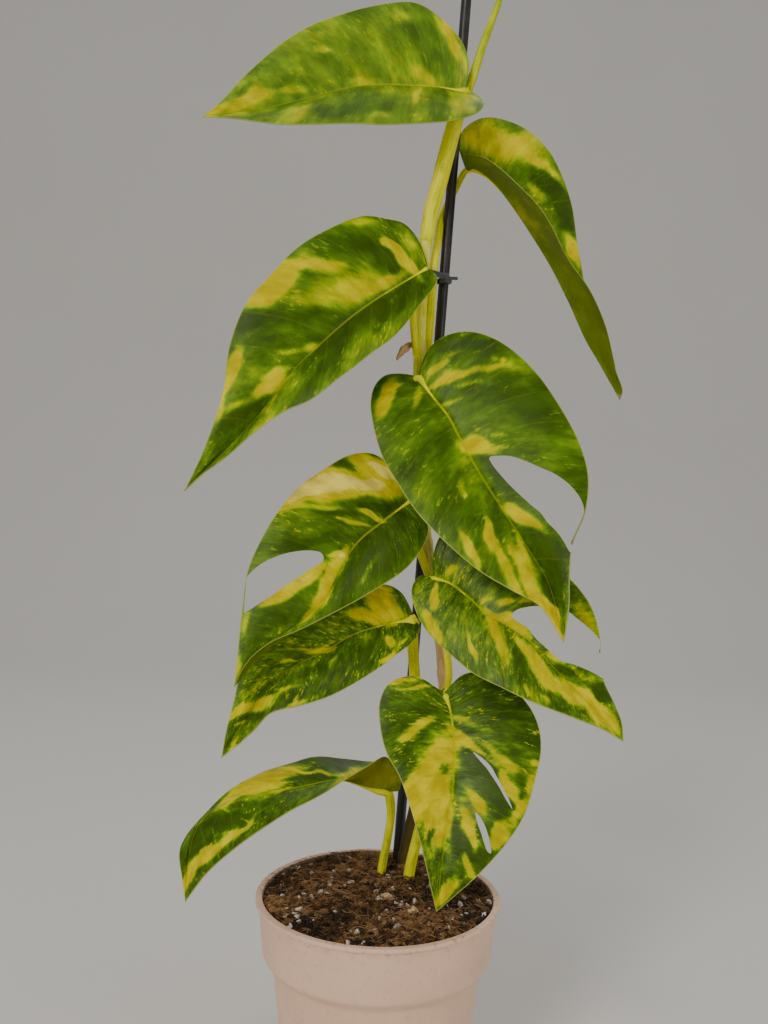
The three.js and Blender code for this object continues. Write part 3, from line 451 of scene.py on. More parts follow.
        [69.7, 147.2, 5.8, 2.2, 61, 0.6], [52.7, 162.8, 15.6, 6.2, -49, -0.75],
        [12, 194.4, 12.3, 8, 1, -0.35], [59, 201.4, 18.8, 9.1, -19, -0.35],
        [11.2, 170.5, 8.7, 3.3, 71, -0.45], [70.1, 162.5, 9.4, 1.9, -59, -0.4],
        [59.8, 135.9, 8.6, 3.9, 59, 0.95], [48.3, 150.8, 6, 1.9, -44, 0.8],
        [43.6, 138.6, 9.1, 2.4, -74, 0.85], [47.3, 129.6, 4.5, 1.7, -74, 0.5],
        [37.6, 135.4, 11.1, 2.2, -77, -0.8], [43.3, 128.5, 6.6, 1.7, -59, -0.6],
        [51, 124.6, 4.5, 3, 41, -0.6], [44.5, 119.4, 6, 1.6, -69, 0.85],
        [29.8, 125.1, 4.5, 1.7, 61, -0.3], [32.7, 128.2, 4.5, 2, 1, 0.25],
        [32.3, 106, 8.6, 3, 51, 0.75], [39.2, 109.7, 5, 1.2, 46, 0.4],
        [40.1, 115.3, 5.5, 1.8, -69, -0.35], [62.2, 140.5, 5.5, 1.8, -59, -0.6],
    ],
    "leaf_9": [
        [-58.8, 158.2, 16.6, 5.9, 18, 0.95], [-73.7, 150, 9.1, 2, 41, 0.8],
        [-36.3, 166.6, 6.6, 1.3, 1, 0.4], [-33.7, 162.8, 11.1, 0.9, -5, 0.75],
        [-39.7, 159.9, 11.6, 1.1, 4, -0.9], [-30.2, 167.3, 9.9, 2.4, -4, -0.55],
        [-17.1, 168.9, 9.9, 2.6, -7, -0.9], [-49.6, 153.6, 5.5, 0.6, 9, 0.45],
        [-66.3, 136.6, 6, 1.1, 51, 0.6], [-76.7, 128.3, 8.6, 2.1, 36, 0.75],
        [-88.6, 119.4, 9.6, 2.8, 46, 0.95], [-93.9, 108.7, 6.6, 2.2, 71, 1],
        [-85.7, 125.5, 3.5, 1, 31, 0.6], [-74.8, 132.6, 3, 0.5, 11, 0.4],
        [-77.1, 143.4, 2, 0.5, -14, 0.5], [-67.9, 139.8, 2.5, 0.4, 1, 0.4],
        [-58.5, 145.3, 4.5, 0.6, 36, 0.35], [-91, 136, 4.5, 0.7, 39, 0.35],
        [-81, 137.2, 13.1, 4.5, 26, -0.35], [-18.8, 160.3, 7.3, 1.7, 31, 0.5],
        [-1.7, 162.7, 11.2, 7.3, 1, 0.7],
    ],
}


def seen(point):  # where a table's point lies in space
    across, height, depth = point
    return eye + (Vector((across, 0, height)) - eye) * (1 - depth / eye.y)


def onPlane(point):  # the way back, without the depth
    share = 1 - point.y / eye.y
    return eye.x + (point.x - eye.x) / share, eye.z + (point.z - eye.z) / share


def smooth(low, high, value):
    share = min(max((value - low) / (high - low), 0), 1)
    return share * share * (3 - 2 * share)


def mix(a, b, share):
    return a + (b - a) * share


def taper(values, share):  # between values spaced evenly along a route
    spans = len(values) - 1
    span = min(int(share * spans), spans - 1)
    return mix(values[span], values[span + 1], share * spans - span)


class Path:  # a smooth curve through points, measured along its length
    def __init__(self, points, closed=False, fineness=14):
        count = len(points)
        spans = count if closed else count - 1
        self.samples = []
        for span in range(spans):
            p1 = points[span]
            p2 = points[(span + 1) % count]
            if closed:
                p0, p3 = points[span - 1], points[(span + 2) % count]
            else:
                p0 = points[span - 1] if span else p1 * 2 - p2
                p3 = points[span + 2] if span + 2 < count else p2 * 2 - p1
            d0, d1, d2 = ((b - a).length ** 0.5 for a, b in ((p0, p1), (p1, p2), (p2, p3)))
            t1 = ((p1 - p0) / d0 - (p2 - p0) / (d0 + d1) + (p2 - p1) / d1) * d1
            t2 = ((p2 - p1) / d1 - (p3 - p1) / (d1 + d2) + (p3 - p2) / d2) * d1
            for step in range(fineness):
                t = step / fineness
                self.samples.append(
                    p1 + t1 * t + (p2 * 3 - p1 * 3 - t1 * 2 - t2) * t ** 2
                    + (p1 * 2 - p2 * 2 + t1 + t2) * t ** 3
                )
        self.samples.append(points[0 if closed else -1].copy())
        self.lengths = [0]
        for a, b in zip(self.samples, self.samples[1:]):
            self.lengths.append(self.lengths[-1] + (b - a).length)
        self.length = self.lengths[-1]

    def at(self, share):
        reach = min(max(share, 0), 1) * self.length
        spot = min(max(bisect_left(self.lengths, reach), 1), len(self.lengths) - 1)
        before, after = self.lengths[spot - 1], self.lengths[spot]
        return self.samples[spot - 1].lerp(self.samples[spot], (reach - before) / (after - before))

    def slope(self, share, step=0.004):
        return (self.at(share + step) - self.at(share - step)).normalized()


def routeOf(points):
    return Path([seen(point) for point in points])


def chainsOf(leaf):
    return {side: routeOf([leaf["joint"], *leaf[side], leaf["tip"]])
            for side in ("midrib", "left", "right")}


def linked(name, data):
    piece = bpy.data.objects.new(name, data)
    bpy.context.scene.collection.objects.link(piece)
    return piece


def meshPiece(name, points, faces, skin, uvs=None, sharp=()):
    mesh = bpy.data.meshes.new(name)
    mesh.from_pydata([point * mm for point in points], [], faces)
    for layer, values in (uvs or {}).items():
        table = mesh.uv_layers.new(name=layer).data
        for loop in mesh.loops:
            table[loop.index].uv = values[loop.vertex_index]
    for polygon in mesh.polygons:
        polygon.use_smooth = True
    if sharp:
        sharp = {tuple(sorted(pair)) for pair in sharp}
        for edge in mesh.edges:
            edge.use_edge_sharp = tuple(sorted(edge.vertices)) in sharp
    mesh.materials.append(skin)
    return linked(name, mesh)


def builtPiece(name, mesh, skin=None):  # takes over a mesh that bmesh has built
    data = bpy.data.meshes.new(name)
    mesh.to_mesh(data)
    mesh.free()
    for polygon in data.polygons:
        polygon.use_smooth = True
    if skin:
        data.materials.append(skin)
    return linked(name, data)


def outward(piece):
    mesh = bmesh.new()
    mesh.from_mesh(piece.data)
    bmesh.ops.remove_doubles(mesh, verts=mesh.verts, dist=1e-7)
    bmesh.ops.recalc_face_normals(mesh, faces=mesh.faces)
    mesh.to_mesh(piece.data)
    mesh.free()


def settle(piece, slotName, *nodes):
    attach(piece, "root")
    if nodes:
        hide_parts(*nodes)


def applied(piece):
    evaluated = piece.evaluated_get(bpy.context.evaluated_depsgraph_get())
    mesh = bpy.data.meshes.new_from_object(evaluated)
    piece.modifiers.clear()
    piece.data = mesh


def prismFaces(count, first=0):  # walls and caps between two rings of points
    walls = [(first + i, first + (i + 1) % count, first + (i + 1) % count + count,
              first + i + count) for i in range(count)]
    caps = [tuple(first + i for i in range(count)),
            tuple(first + i for i in range(2 * count - 1, count - 1, -1))]
    return walls + caps


def carve(piece, name, points, faces):  # takes a closed body out of a piece
    cutter = meshPiece(name, points, faces, piece.data.materials[0])
    outward(cutter)
    cut = piece.modifiers.new(name, "BOOLEAN")
    cut.operation = "DIFFERENCE"
    cut.solver = "EXACT"
    cut.object = cutter
    applied(piece)
    bpy.data.objects.remove(cutter)


# Materials are built from short node chains
class Skin:
    def __init__(self, name):
        self.material = bpy.data.materials.new(name)
        self.material.use_nodes = True
        self.tree = self.material.node_tree
        self.shader = self.tree.nodes["Principled BSDF"]

    def put(self, target, value):
        if isinstance(value, bpy.types.NodeSocket):
            self.tree.links.new(value, target)
        elif value is not None:
            target.default_value = value

    def node(self, kind, output=0, inputs=None, **settings):
        made = self.tree.nodes.new(kind)
        for key, value in settings.items():
            setattr(made, key, value)
        for key, value in (inputs or {}).items():
            self.put(made.inputs[key], value)
        return made.outputs[output]

    def math(self, operation, a, b=None, c=None):
        made = self.tree.nodes.new("ShaderNodeMath")
        made.operation = operation
        for socket, value in zip(made.inputs, (a, b, c)):
            self.put(socket, value)
        return made.outputs[0]

    def noise(self, vector, scale, detail=3, roughness=0.55):
        inputs = {"Vector": vector, "Scale": scale, "Detail": detail, "Roughness": roughness}
        return self.node("ShaderNodeTexNoise", inputs=inputs)

    def cells(self, vector, scale, output="Distance"):
        return self.node("ShaderNodeTexVoronoi", output, {"Vector": vector, "Scale": scale})

    def fibres(self, streaks, pitch, detail, roughness):  # grain along a swept piece
        turnX, turnY, _ = self.uv("ring")
        parts = (turnX, streaks), (turnY, streaks), (self.uv("run")[0], pitch)
        vector = self.join(*(self.math("MULTIPLY", part, scale) for part, scale in parts))
        return self.noise(vector, 1.0, detail, roughness)

    def swayed(self, value, source, weight):  # a noise swings a value both ways
        return self.math("MULTIPLY_ADD", self.math("SUBTRACT", source, 0.5), weight, value)

    def spread(self, value, low, high, toLow=0, toHigh=1):
        inputs = {"Value": value, "From Min": low, "From Max": high, "To Min": toLow,
                  "To Max": toHigh}
        return self.node("ShaderNodeMapRange", inputs=inputs, interpolation_type="SMOOTHSTEP")

    def blend(self, share, first, second, mode="MIX"):
        made = self.tree.nodes.new("ShaderNodeMix")
        made.data_type = "RGBA"
        made.blend_type = mode
        self.put(made.inputs[0], share)
        self.put(made.inputs[6], first)
        self.put(made.inputs[7], second)
        return made.outputs[2]

    def ramp(self, value, stops):
        made = self.tree.nodes.new("ShaderNodeValToRGB")
        marks = made.color_ramp.elements
        while len(marks) < len(stops):
            marks.new(0.5)
        for mark, (place, colour) in zip(marks, stops):
            mark.position = place
            mark.color = (*colour, 1)
        self.put(made.inputs[0], value)
        return made.outputs[0]

    def place(self):
        return self.node("ShaderNodeTexCoord", "Object")

    def stretch(self, vector, scale):
        return self.node("ShaderNodeMapping", inputs={"Vector": vector, "Scale": scale})

    def split(self, vector):
        made = self.tree.nodes.new("ShaderNodeSeparateXYZ")
        self.put(made.inputs[0], vector)
        return made.outputs

    def join(self, x, y, z=0.0):
        return self.node("ShaderNodeCombineXYZ", inputs={"X": x, "Y": y, "Z": z})

    def uv(self, layer):
        return self.split(self.node("ShaderNodeUVMap", uv_map=layer))

    def bump(self, height, distance, under=None):  # over the relief that is there already
        inputs = {"Height": height, "Distance": distance * mm, "Strength": 1.0, "Normal": under}
        return self.node("ShaderNodeBump", inputs=inputs)

    def finish(self, **values):
        names = {"colour": "Base Color", "roughness": "Roughness", "normal": "Normal",
                 "coat": "Coat Weight", "coatRoughness": "Coat Roughness",
                 "gloss": "Specular IOR Level", "glossTint": "Specular Tint"}
        for key, value in values.items():
            self.put(self.shader.inputs[names[key]], value)
        return self.material


# Blades: ribs leave the midrib and bend forward to the margins, as the veins do
bladeForm = {
    "rows": 150, "ribPoints": 26, "crowding": 1.75, "ribCrowding": 1.45, "sweep": 0.14,
    "camber": 0.07, "thickness": 0.6, "marginThickness": 0.32, "droop": 0.5, "groove": 0.5,
    "grooveWidth": 1.1, "keel": 0.9, "keelWidth": 1.0, "veins": 12, "quilt": 0.22,
    "veinDepth": 0.6, "wave": 0.9, "waveScale": 0.045, "tipFrom": 0.8, "tipWidth": 0.8,
    "tipNarrowest": 0.04,
}
patchForm = {  # how a patch wanders, how much it counts and between which reaches it fades
    "wander": 2.4, "wanderScale": 0.11, "apart": Vector((40, 0, 0)), "yellowGain": 1.3,
    "greenGain": 0.7, "outside": 1.6, "inside": 0.35, "limit": 1.5,
}
slitForm = {"near": -60, "far": 40, "fineness": 5, "sharpAngle": 0.7}


def bladeSheet(leaf, form):
    chains = chainsOf(leaf)
    count = form["ribPoints"]
    rows = []
    for i in range(1, form["rows"]):
        along = i / form["rows"]
        crowded = along ** form["crowding"]
        anchor = chains["midrib"].at(crowded)
        forward = chains["midrib"].slope(crowded)
        row = {}
        for side, turn in (("left", -1), ("right", 1)):
            edge = chains[side].at(along)
            rib = edge - anchor
            toTip = max(along - form["tipFrom"], 0) / (1 - form["tipFrom"])
            narrow = form["tipWidth"] * math.sqrt(max(1 - toTip ** 4, form["tipNarrowest"]))
            if toTip and rib.length < narrow:
                rib *= narrow / rib.length
                edge = anchor + rib
            upward = rib.cross(forward).normalized() * turn
            bend = (anchor + edge) / 2 + upward * form["camber"] * rib.length
            bend -= forward * form["sweep"] * rib.length * math.sin(math.pi * along)
            for j in range(count + 1):
                q = (j / count) ** form["ribCrowding"]
                point = anchor * (1 - q) ** 2 + bend * 2 * q * (1 - q) + edge * q ** 2
                row[turn * j] = (point, along, turn * q, q * rib.length, rib.length)
        rows.append([row[j] for j in range(-count, count + 1)])
    return rows, chains


def splashAt(point, splashes, base, form):  # from dark green at -1 to yellow at 1
    across, height = onPlane(point)
    spot = point * form["wanderScale"]
    across += form["wander"] * noise.noise(spot)
    height += form["wander"] * noise.noise(spot + form["apart"])
    total = base
    for x, z, length, width, turn, weight in splashes:
        angle = math.radians(turn)
        dx, dz = across - x, height - z
        u = (dx * math.cos(angle) + dz * math.sin(angle)) / length
        v = (dz * math.cos(angle) - dx * math.sin(angle)) / width
        strength = weight * form["yellowGain" if weight > 0 else "greenGain"]
        total += strength * smooth(form["outside"], form["inside"], math.hypot(u, v))
    return min(max(total, -form["limit"]), form["limit"]) / form["limit"]


def reliefFade(along):  # relief dies away towards both ends of a blade
    if along < 0.9:
        return max(math.sin(math.pi * min(along * 1.1, 1)) ** 0.4, 0)
    return max((1 - along) * 9, 0)


def bladePiece(leafName, leaf, form, base, skin):
    rows, chains = bladeSheet(leaf, form)
    width = len(rows[0])
    middle = width // 2
    last = len(rows) - 1
    ends = [chains["midrib"].at(0), chains["midrib"].at(1)]

    def normalAt(i, c):
        across = rows[i][min(c + 1, width - 1)][0] - rows[i][max(c - 1, 0)][0]
        before = rows[i - 1][c][0] if i else ends[0]
        after = rows[i + 1][c][0] if i < last else ends[1]
        return across.cross(after - before).normalized()

    upper, lower, rib, reach, splash = [], [], [], [], []

    def addPoint(point, normal, along, q, fromMidrib, ribLength):
        side = abs(q)
        fade = reliefFade(along)
        vein = abs(math.sin(math.pi * form["veins"] * along)) ** 0.7 - form["veinDepth"]
        quilt = form["quilt"] * vein * smooth(0, 0.25, side) * (1 - side ** 5) * fade
        roll = noise.noise(point * form["waveScale"]) * form["wave"]
        roll *= smooth(0.1, 1, side) * fade
        lift = quilt + roll - form["droop"] * side ** 8 * fade
        half = mix(form["thickness"], form["marginThickness"], side ** 3) / 2
        groove = form["groove"] * math.exp(-(fromMidrib / form["grooveWidth"]) ** 2) * fade
        keel = form["keel"] * math.exp(-(fromMidrib / form["keelWidth"]) ** 2)
        keel *= (1 - along) ** 0.6 if along < 1 else 0
        upper.append(point + normal * (lift + half - groove))
        lower.append(point + normal * (lift - half - keel))
        rib.append((along, q * 0.5 + 0.5))
        reach.append((fromMidrib / 100, (ribLength - fromMidrib) / 100))
        splash.append(splashAt(point, patches[leafName], base, patchForm) * 0.5 + 0.5)

    for i, row in enumerate(rows):
        for c, (point, along, q, fromMidrib, ribLength) in enumerate(row):
            addPoint(point, normalAt(i, c), along, q, fromMidrib, ribLength)
    addPoint(ends[0], normalAt(0, middle), 0, 0, 0, 2)
    addPoint(ends[1], normalAt(last, middle), 1, 0, 0, 0.1)

    joint = len(rows) * width
    tip = joint + 1
    face = []
    for c in range(width - 1):
        face.append((joint, c + 1, c))
        face.append((tip, last * width + c, last * width + c + 1))
        for i in range(last):
            a = i * width + c
            face.append((a, a + 1, a + 1 + width, a + width))
    under = len(upper)
    border = [joint, *(i * width + width - 1 for i in range(last + 1)), tip]
    border += [i * width for i in range(last, -1, -1)]
    faces = face + [tuple(index + under for index in reversed(corners)) for corners in face]
    sharp = []
    for a, b in zip(border, border[1:] + border[:1]):
        faces.append((a, a + under, b + under, b))
        sharp += [(a, b), (a + under, b + under)]
    uvs = {
        "rib": rib * 2,
        "reach": reach * 2,
        "tone": [(s, 0.0) for s in splash] + [(s, 1.0) for s in splash],
    }
    piece = meshPiece(f"{leafName}_bladeSkin", upper + lower, faces, skin, uvs, sharp)
    for slit in leaf.get("slits", []):
        cutSlit(piece, slit, slitForm)
    return piece


def cutSlit(piece, outline, form):
    corners = [Vector((across, height, 0)) for across, height in outline]
    ring = Path(corners, closed=True, fineness=form["fineness"]).samples[:-1]
    points = [seen((p.x, p.y, depth)) for depth in (form["near"], form["far"]) for p in ring]
    carve(piece, "slit", points, prismFaces(len(ring)))
    mesh = bmesh.new()
    mesh.from_mesh(piece.data)
    for edge in mesh.edges:
        if len(edge.link_faces) == 2 and edge.calc_face_angle() > form["sharpAngle"]:
            edge.smooth = False
    mesh.to_mesh(piece.data)
    mesh.free()


# Leaf skin: dark green overlaid with lime, yellow and cream that run along the veins
leafGreens = {
    "dark": (0.038, 0.088, 0.0), "green": (0.074, 0.168, 0.0), "fresh": (0.15, 0.275, 0.0),
    "lime": (0.32, 0.43, 0.0), "yellow": (0.57, 0.54, 0.0), "gold": (0.65, 0.55, 0.0),
    "under": (0.14, 0.17, 0.0), "cream": (0.92, 0.75),
}
# base: how yellow a leaf is between its patches. flecks: how strongly it is flecked. pale: the
# blue share of its cream, if it has any. dryFrom: how far along the leaf a dried tip begins.
usualLooks = {"flecks": 1.0, "pale": 0.0, "dryFrom": 2, "gloss": 0.22}
underGloss = 0.1
leafLooks = {
    "leaf_1": {"base": -0.16, "flecks": 0.3, "gloss": 0.42},
    "leaf_2": {"base": -0.2, "flecks": 0.6, "dryFrom": 0.98},
    "leaf_3": {"base": -0.24, "flecks": 0.6},
    "leaf_4": {"base": -0.32, "flecks": 0.6, "gloss": 0.16},
    "leaf_5": {"base": -0.28, "flecks": 0.7, "pale": 0.12},
    "leaf_6": {"base": -0.3, "flecks": 1.3, "pale": 0.05},
    "leaf_7": {"base": -0.25, "flecks": 1.25},
    "leaf_8": {"base": -0.36, "flecks": 1.25},
    "leaf_9": {"base": -0.42},
}


def leafSkin(name, seed, looks, veins):
    skin = Skin(name)
    flecks, pale, dryFrom = looks["flecks"], looks["pale"], looks["dryFrom"]
    along, across, _ = skin.uv("rib")
    fromMidrib, fromEdge, _ = skin.uv("reach")
    splash, under, _ = skin.uv("tone")
    side = skin.math("ABSOLUTE", skin.math("MULTIPLY_ADD", across, 2.0, -1.0))
    half = skin.math("GREATER_THAN", across, 0.5)
    offset = skin.math("MULTIPLY_ADD", half, 7.3, seed)

    def streak(perLength, perWidth, detail, roughness):
        x = skin.math("MULTIPLY", along, perLength)
        y = skin.math("MULTIPLY", side, perWidth)
        return skin.noise(skin.join(x, y, offset), 1.0, detail, roughness)

    wide = streak(9, 1.3, 3, 0.6)
    fine = streak(34, 3.5, 3, 0.65)
    fleck = streak(85, 8, 2, 0.6)
    blotch = skin.noise(skin.place(), 42, 3, 0.6)
    value = skin.math("MULTIPLY_ADD", splash, 3.0, -1.5)
    for source, weight in ((wide, 1.0), (fine, 0.95 * flecks), (fleck, 0.6 * flecks),
                           (blotch, 0.6)):
        value = skin.swayed(value, source, weight)
    speck = streak(110, 9, 3, 0.6)
    zone = skin.spread(streak(13, 2.2, 2, 0.5), 0.42, 0.62)
    bright = skin.math("MULTIPLY", skin.spread(speck, 0.57, 0.66), zone)
    value = skin.math("MULTIPLY_ADD", bright, 0.6 * flecks, value)
    level = skin.math("MULTIPLY_ADD", value, 1 / 3, 0.5)
    tones = leafGreens
    colour = skin.ramp(level, [
        (0.3, tones["dark"]), (0.4, tones["green"]), (0.465, tones["fresh"]),
        (0.525, tones["lime"]), (0.59, tones["yellow"]), (0.7, tones["gold"]),
        (0.84, tones["gold"]), (0.96, (*tones["cream"], pale) if pale else tones["gold"]),
    ])
    depth = skin.spread(streak(20, 2.2, 4, 0.6), 0.3, 0.7, 0.72, 1.25)
    colour = skin.blend(1.0, colour, skin.join(depth, depth, depth), "MULTIPLY")

    midrib = skin.spread(fromMidrib, 0.003, 0.009, 1, 0)
    midrib = skin.math("MULTIPLY", midrib, skin.spread(along, 0.1, 0.9, 0.85, 0.25))
    midrib = skin.math("MULTIPLY", midrib, skin.spread(under, 0, 1, 1, 0.7))
    colour = skin.blend(midrib, colour, (0.44, 0.5, 0.0, 1))
    margin = skin.spread(fromEdge, 0.002, 0.0055, 0.6, 0)
    colour = skin.blend(margin, colour, (0.55, 0.56, 0.14, 1))
    phase = skin.math("PINGPONG", skin.math("MULTIPLY", along, veins), 0.5)
    veinLine = skin.spread(phase, 0.0, 0.05, 0.1, 0)
    colour = skin.blend(veinLine, colour, (0.3, 0.38, 0.01, 1))

    colour = skin.blend(under, colour, skin.blend(0.72, colour, (*tones["under"], 1)))
    dry = skin.spread(along, dryFrom, dryFrom + 0.008)
    colour = skin.blend(dry, colour, (0.3, 0.21, 0.12, 1))
    pores = skin.noise(skin.place(), 2600, 2, 0.6)
    relief = skin.bump(pores, 0.06)
    relief = skin.bump(skin.math("MULTIPLY", veinLine, -3.0), 0.12, relief)
    relief = skin.bump(streak(150, 9, 2, 0.5), 0.14, relief)
    shine = skin.spread(skin.noise(skin.place(), 60, 3), 0.3, 0.7, 0.3, 0.44)
    shine = skin.math("MULTIPLY_ADD", under, 0.25, shine)
    gloss = skin.math("MULTIPLY_ADD", under, underGloss - looks["gloss"], looks["gloss"])
    tint = skin.blend(skin.spread(level, 0.45, 0.62), (1, 1, 0.8, 1), (1, 0.86, 0.05, 1))
    return skin.finish(colour=colour, roughness=shine, normal=relief, gloss=gloss, glossTint=tint)


print("blades")
for number, (leafName, leaf) in enumerate(leaves.items(), 1):
    looks = usualLooks | leafLooks[leafName]
    skin = leafSkin(f"{leafName}_skin", number * 3.1, looks, bladeForm["veins"])
    piece = bladePiece(leafName, leaf, bladeForm, looks["base"], skin)
    settle(piece, "leaf_tissue", f"{leafName}_blade")


# Stalks, stem, stake and root are round bodies swept along their routes, with domed ends
def turnedBy(angle):
    return math.cos(angle), math.sin(angle)


def sweptPiece(name, route, radiusAt, skin, sides, rings, dome=0.8):
    points, run, ring = [], [], []
    backward = Vector((0, 1, 0))

    def addPoint(point, along, turnX, turnY):
        points.append(point)
        ring.append((0.5 + 0.5 * turnX, 0.5 + 0.5 * turnY))
        run.append((along * route.length / 100, along))

    def addRing(centre, tangent, radii, along):
        side = tangent.cross(backward).normalized()
        out = side.cross(tangent)
        for j in range(sides):
            x, y = turnedBy(2 * math.pi * j / sides)
            addPoint(centre + (side * x + out * y) * radii[j], along, x, y)

    domes = [turnedBy(math.radians(a)) for a in (30, 60)]
    spots = [(0, -push, shrink) for shrink, push in reversed(domes)]
    spots += [(i / rings, 0, 1) for i in range(rings + 1)]
    spots += [(1, push, shrink) for shrink, push in domes]
    for along, push, shrink in spots:
        radii = [radiusAt(along, 2 * math.pi * j / sides) for j in range(sides)]
        tangent = route.slope(along)
        centre = route.at(along) + tangent * push * dome * max(radii)
        addRing(centre, tangent, [r * shrink for r in radii], along)
    count = len(spots)
    for along, turn in ((0, -1), (1, 1)):
        tip = route.at(along) + route.slope(along) * turn * dome * radiusAt(along, 0)
        addPoint(tip, along, 0, 0)
    faces = []
    for i in range(count - 1):
        for j in range(sides):
            a, b = i * sides + j, i * sides + (j + 1) % sides
            faces.append((a, a + sides, b + sides, b))
    foot, top = count * sides, count * sides + 1
    last = (count - 1) * sides
    for j in range(sides):
        k = (j + 1) % sides
        faces += [(foot, j, k), (top, last + k, last + j)]
    piece = meshPiece(name, points, faces, skin, {"run": run, "ring": ring})
    outward(piece)
    return piece


def stalkSkin(name, stops, streaks, roughness=(0.36, 0.5), relief=0.12, coat=0.03):
    skin = Skin(name)
    fibre = skin.fibres(streaks, 6.0, 4, 0.62)
    cloud = skin.noise(skin.place(), 70, 3, 0.6)
    speck = skin.noise(skin.place(), 900, 2, 0.6)
    colour = skin.ramp(skin.swayed(skin.swayed(fibre, cloud, 0.7), speck, 0.25), stops)
    bumps = skin.bump(fibre, relief)
    bumps = skin.bump(speck, relief * 0.5, bumps)
    shine = skin.spread(cloud, 0.3, 0.7, *roughness)
    return skin.finish(colour=colour, roughness=shine, normal=bumps, coat=coat,
                       coatRoughness=0.3, gloss=0.3, glossTint=(1, 0.92, 0.4, 1))


stalkForm = {
    "sides": 20, "rings": 90, "jointSwell": 0.16, "jointBefore": 5, "jointLength": 9,
    "keelReach": 0.16, "keelTip": 0.55, "keelPoints": [(0.03, 0.9), (0.08, 0.9), (0.16, 0.6)],
    "channel": 0.2, "channelWidth": 0.4, "channelTurn": 3.9, "channelFrom": (0.02, 0.15),
    "channelTo": (1, 0.85),
}
stalkTones = [
    (0.3, (0.48, 0.54, 0.0)), (0.42, (0.68, 0.7, 0.0)), (0.52, (0.84, 0.82, 0.0)),
    (0.62, (0.92, 0.87, 0.0)), (0.75, (0.95, 0.88, 0.08)),
]


def angleFrom(angle, other):  # how far one direction round a stalk is from another
    return (angle - other + math.pi) % (2 * math.pi) - math.pi


def stalkRoute(stalk, chains, form):  # ends as a keel under the midrib
    points = [seen(point) for point in stalk["path"]]
    if "buried" in stalk:
        points.insert(0, points[0] - Vector((0, 0, stalk["buried"])))
    across = chains["right"].at(0.3) - chains["left"].at(0.3)
    upward = across.cross(chains["midrib"].slope(0.04)).normalized()
    for share, depth in form["keelPoints"]:
        points.append(chains["midrib"].at(share) - upward * depth)
    return Path(points)


def stalkPiece(leafName, stalk, form, skin):
    chains = chainsOf(leaves[leafName])
    route = stalkRoute(stalk, chains, form)
    jointAt = 1 - (chains["midrib"].length * form["keelReach"]) / route.length

    def stalkRadius(along, angle):
        radius = taper(stalk["radius"], min(max(along / jointAt, 0), 1))
        toJoint = (along - jointAt) * route.length
        swell = math.exp(-(((toJoint + form["jointBefore"]) / form["jointLength"]) ** 2))
        radius *= 1 + form["jointSwell"] * swell
        if toJoint > -1:
            keel = smooth(-1, 0.8 * (1 - jointAt) * route.length, toJoint)
            radius = mix(radius, form["keelTip"], keel)
        gap = angleFrom(angle, form["channelTurn"])
        channel = form["channel"] * math.exp(-(gap / form["channelWidth"]) ** 2)
        channel *= smooth(*form["channelFrom"], along) * smooth(*form["channelTo"], along)
        return radius * (1 - channel)

    return sweptPiece(f"{leafName}_stalkSkin", route, stalkRadius, skin, form["sides"],
                      form["rings"])


print("stalks")
stalkMaterial = stalkSkin("stalkSkin", stalkTones, 5.0)
for leafName, stalk in petioles.items():
    piece = stalkPiece(leafName, stalk, stalkForm, stalkMaterial)
    settle(piece, "stalk_tissue", f"{leafName}_petiole")

print("stem and spear")
stemForm = {
    "sides": 28, "rings": 260, "base": 2.9, "top": 3.1, "buried": 30, "pitch": 34, "swell": 0.14,
    "swellSharpness": 6, "crease": 0.09, "creaseTurn": 0.55, "creaseWidth": 0.06, "oval": 0.03,
    "ovalTwist": 14,
}
foot = seen(stemRoute[0])
stemCurve = Path([foot - Vector((0, 0, stemForm["buried"])), *(seen(p) for p in stemRoute)])


def stemRadius(along, angle):
    turn = 2 * math.pi * along * stemCurve.length / stemForm["pitch"]
    swell = stemForm["swell"] * max(0, math.cos(turn)) ** stemForm["swellSharpness"]
    past = math.sin((turn - stemForm["creaseTurn"]) / 2) / stemForm["creaseWidth"]
    crease = stemForm["crease"] * math.exp(-(past ** 2))
    oval = stemForm["oval"] * math.cos(2 * angle + along * stemForm["ovalTwist"])
    return mix(stemForm["base"], stemForm["top"], along) * (1 + swell - crease + oval)


def stemSkin():
    skin = Skin("stemSkin")
    fibre = skin.fibres(9.0, 7.0, 5, 0.65)
    cloud = skin.noise(skin.place(), 90, 4, 0.6)
    height = skin.swayed(skin.split(skin.place())[2], cloud, 0.08)
    aged = skin.spread(height, 0.345, 0.2, 0, 1)
    mixed = skin.swayed(fibre, cloud, 0.6)
    green = skin.ramp(mixed, [
        (0.3, (0.55, 0.6, 0.0)), (0.45, (0.8, 0.8, 0.05)), (0.58, (0.92, 0.88, 0.14)),
        (0.72, (0.95, 0.9, 0.28))])
    tan = skin.ramp(mixed, [
        (0.28, (0.24, 0.13, 0.05)), (0.42, (0.48, 0.3, 0.14)), (0.55, (0.66, 0.43, 0.22)),
        (0.72, (0.78, 0.55, 0.32))])
    colour = skin.blend(aged, green, tan)
    shaded = skin.spread(height, 0.2, 0.165, 0, 0.92)
    colour = skin.blend(shaded, colour, (0.06, 0.045, 0.01, 1))
    bumps = skin.bump(fibre, 0.35)
    bumps = skin.bump(skin.noise(skin.place(), 700, 3, 0.6), 0.12, bumps)
    shine = skin.math("MULTIPLY_ADD", aged, 0.22, 0.42)
    return skin.finish(colour=colour, roughness=shine, normal=bumps, gloss=0.3,
                       glossTint=(1, 0.92, 0.5, 1))


piece = sweptPiece("stemPiece", stemCurve, stemRadius, stemSkin(), stemForm["sides"],
                   stemForm["rings"])
settle(piece, "stem_tissue", "main_stem")

spearForm = {"sides": 24, "rings": 70, "fold": 0.18, "foldTurn": 4.4, "foldWidth": 0.22,
             "twist": 1.6}


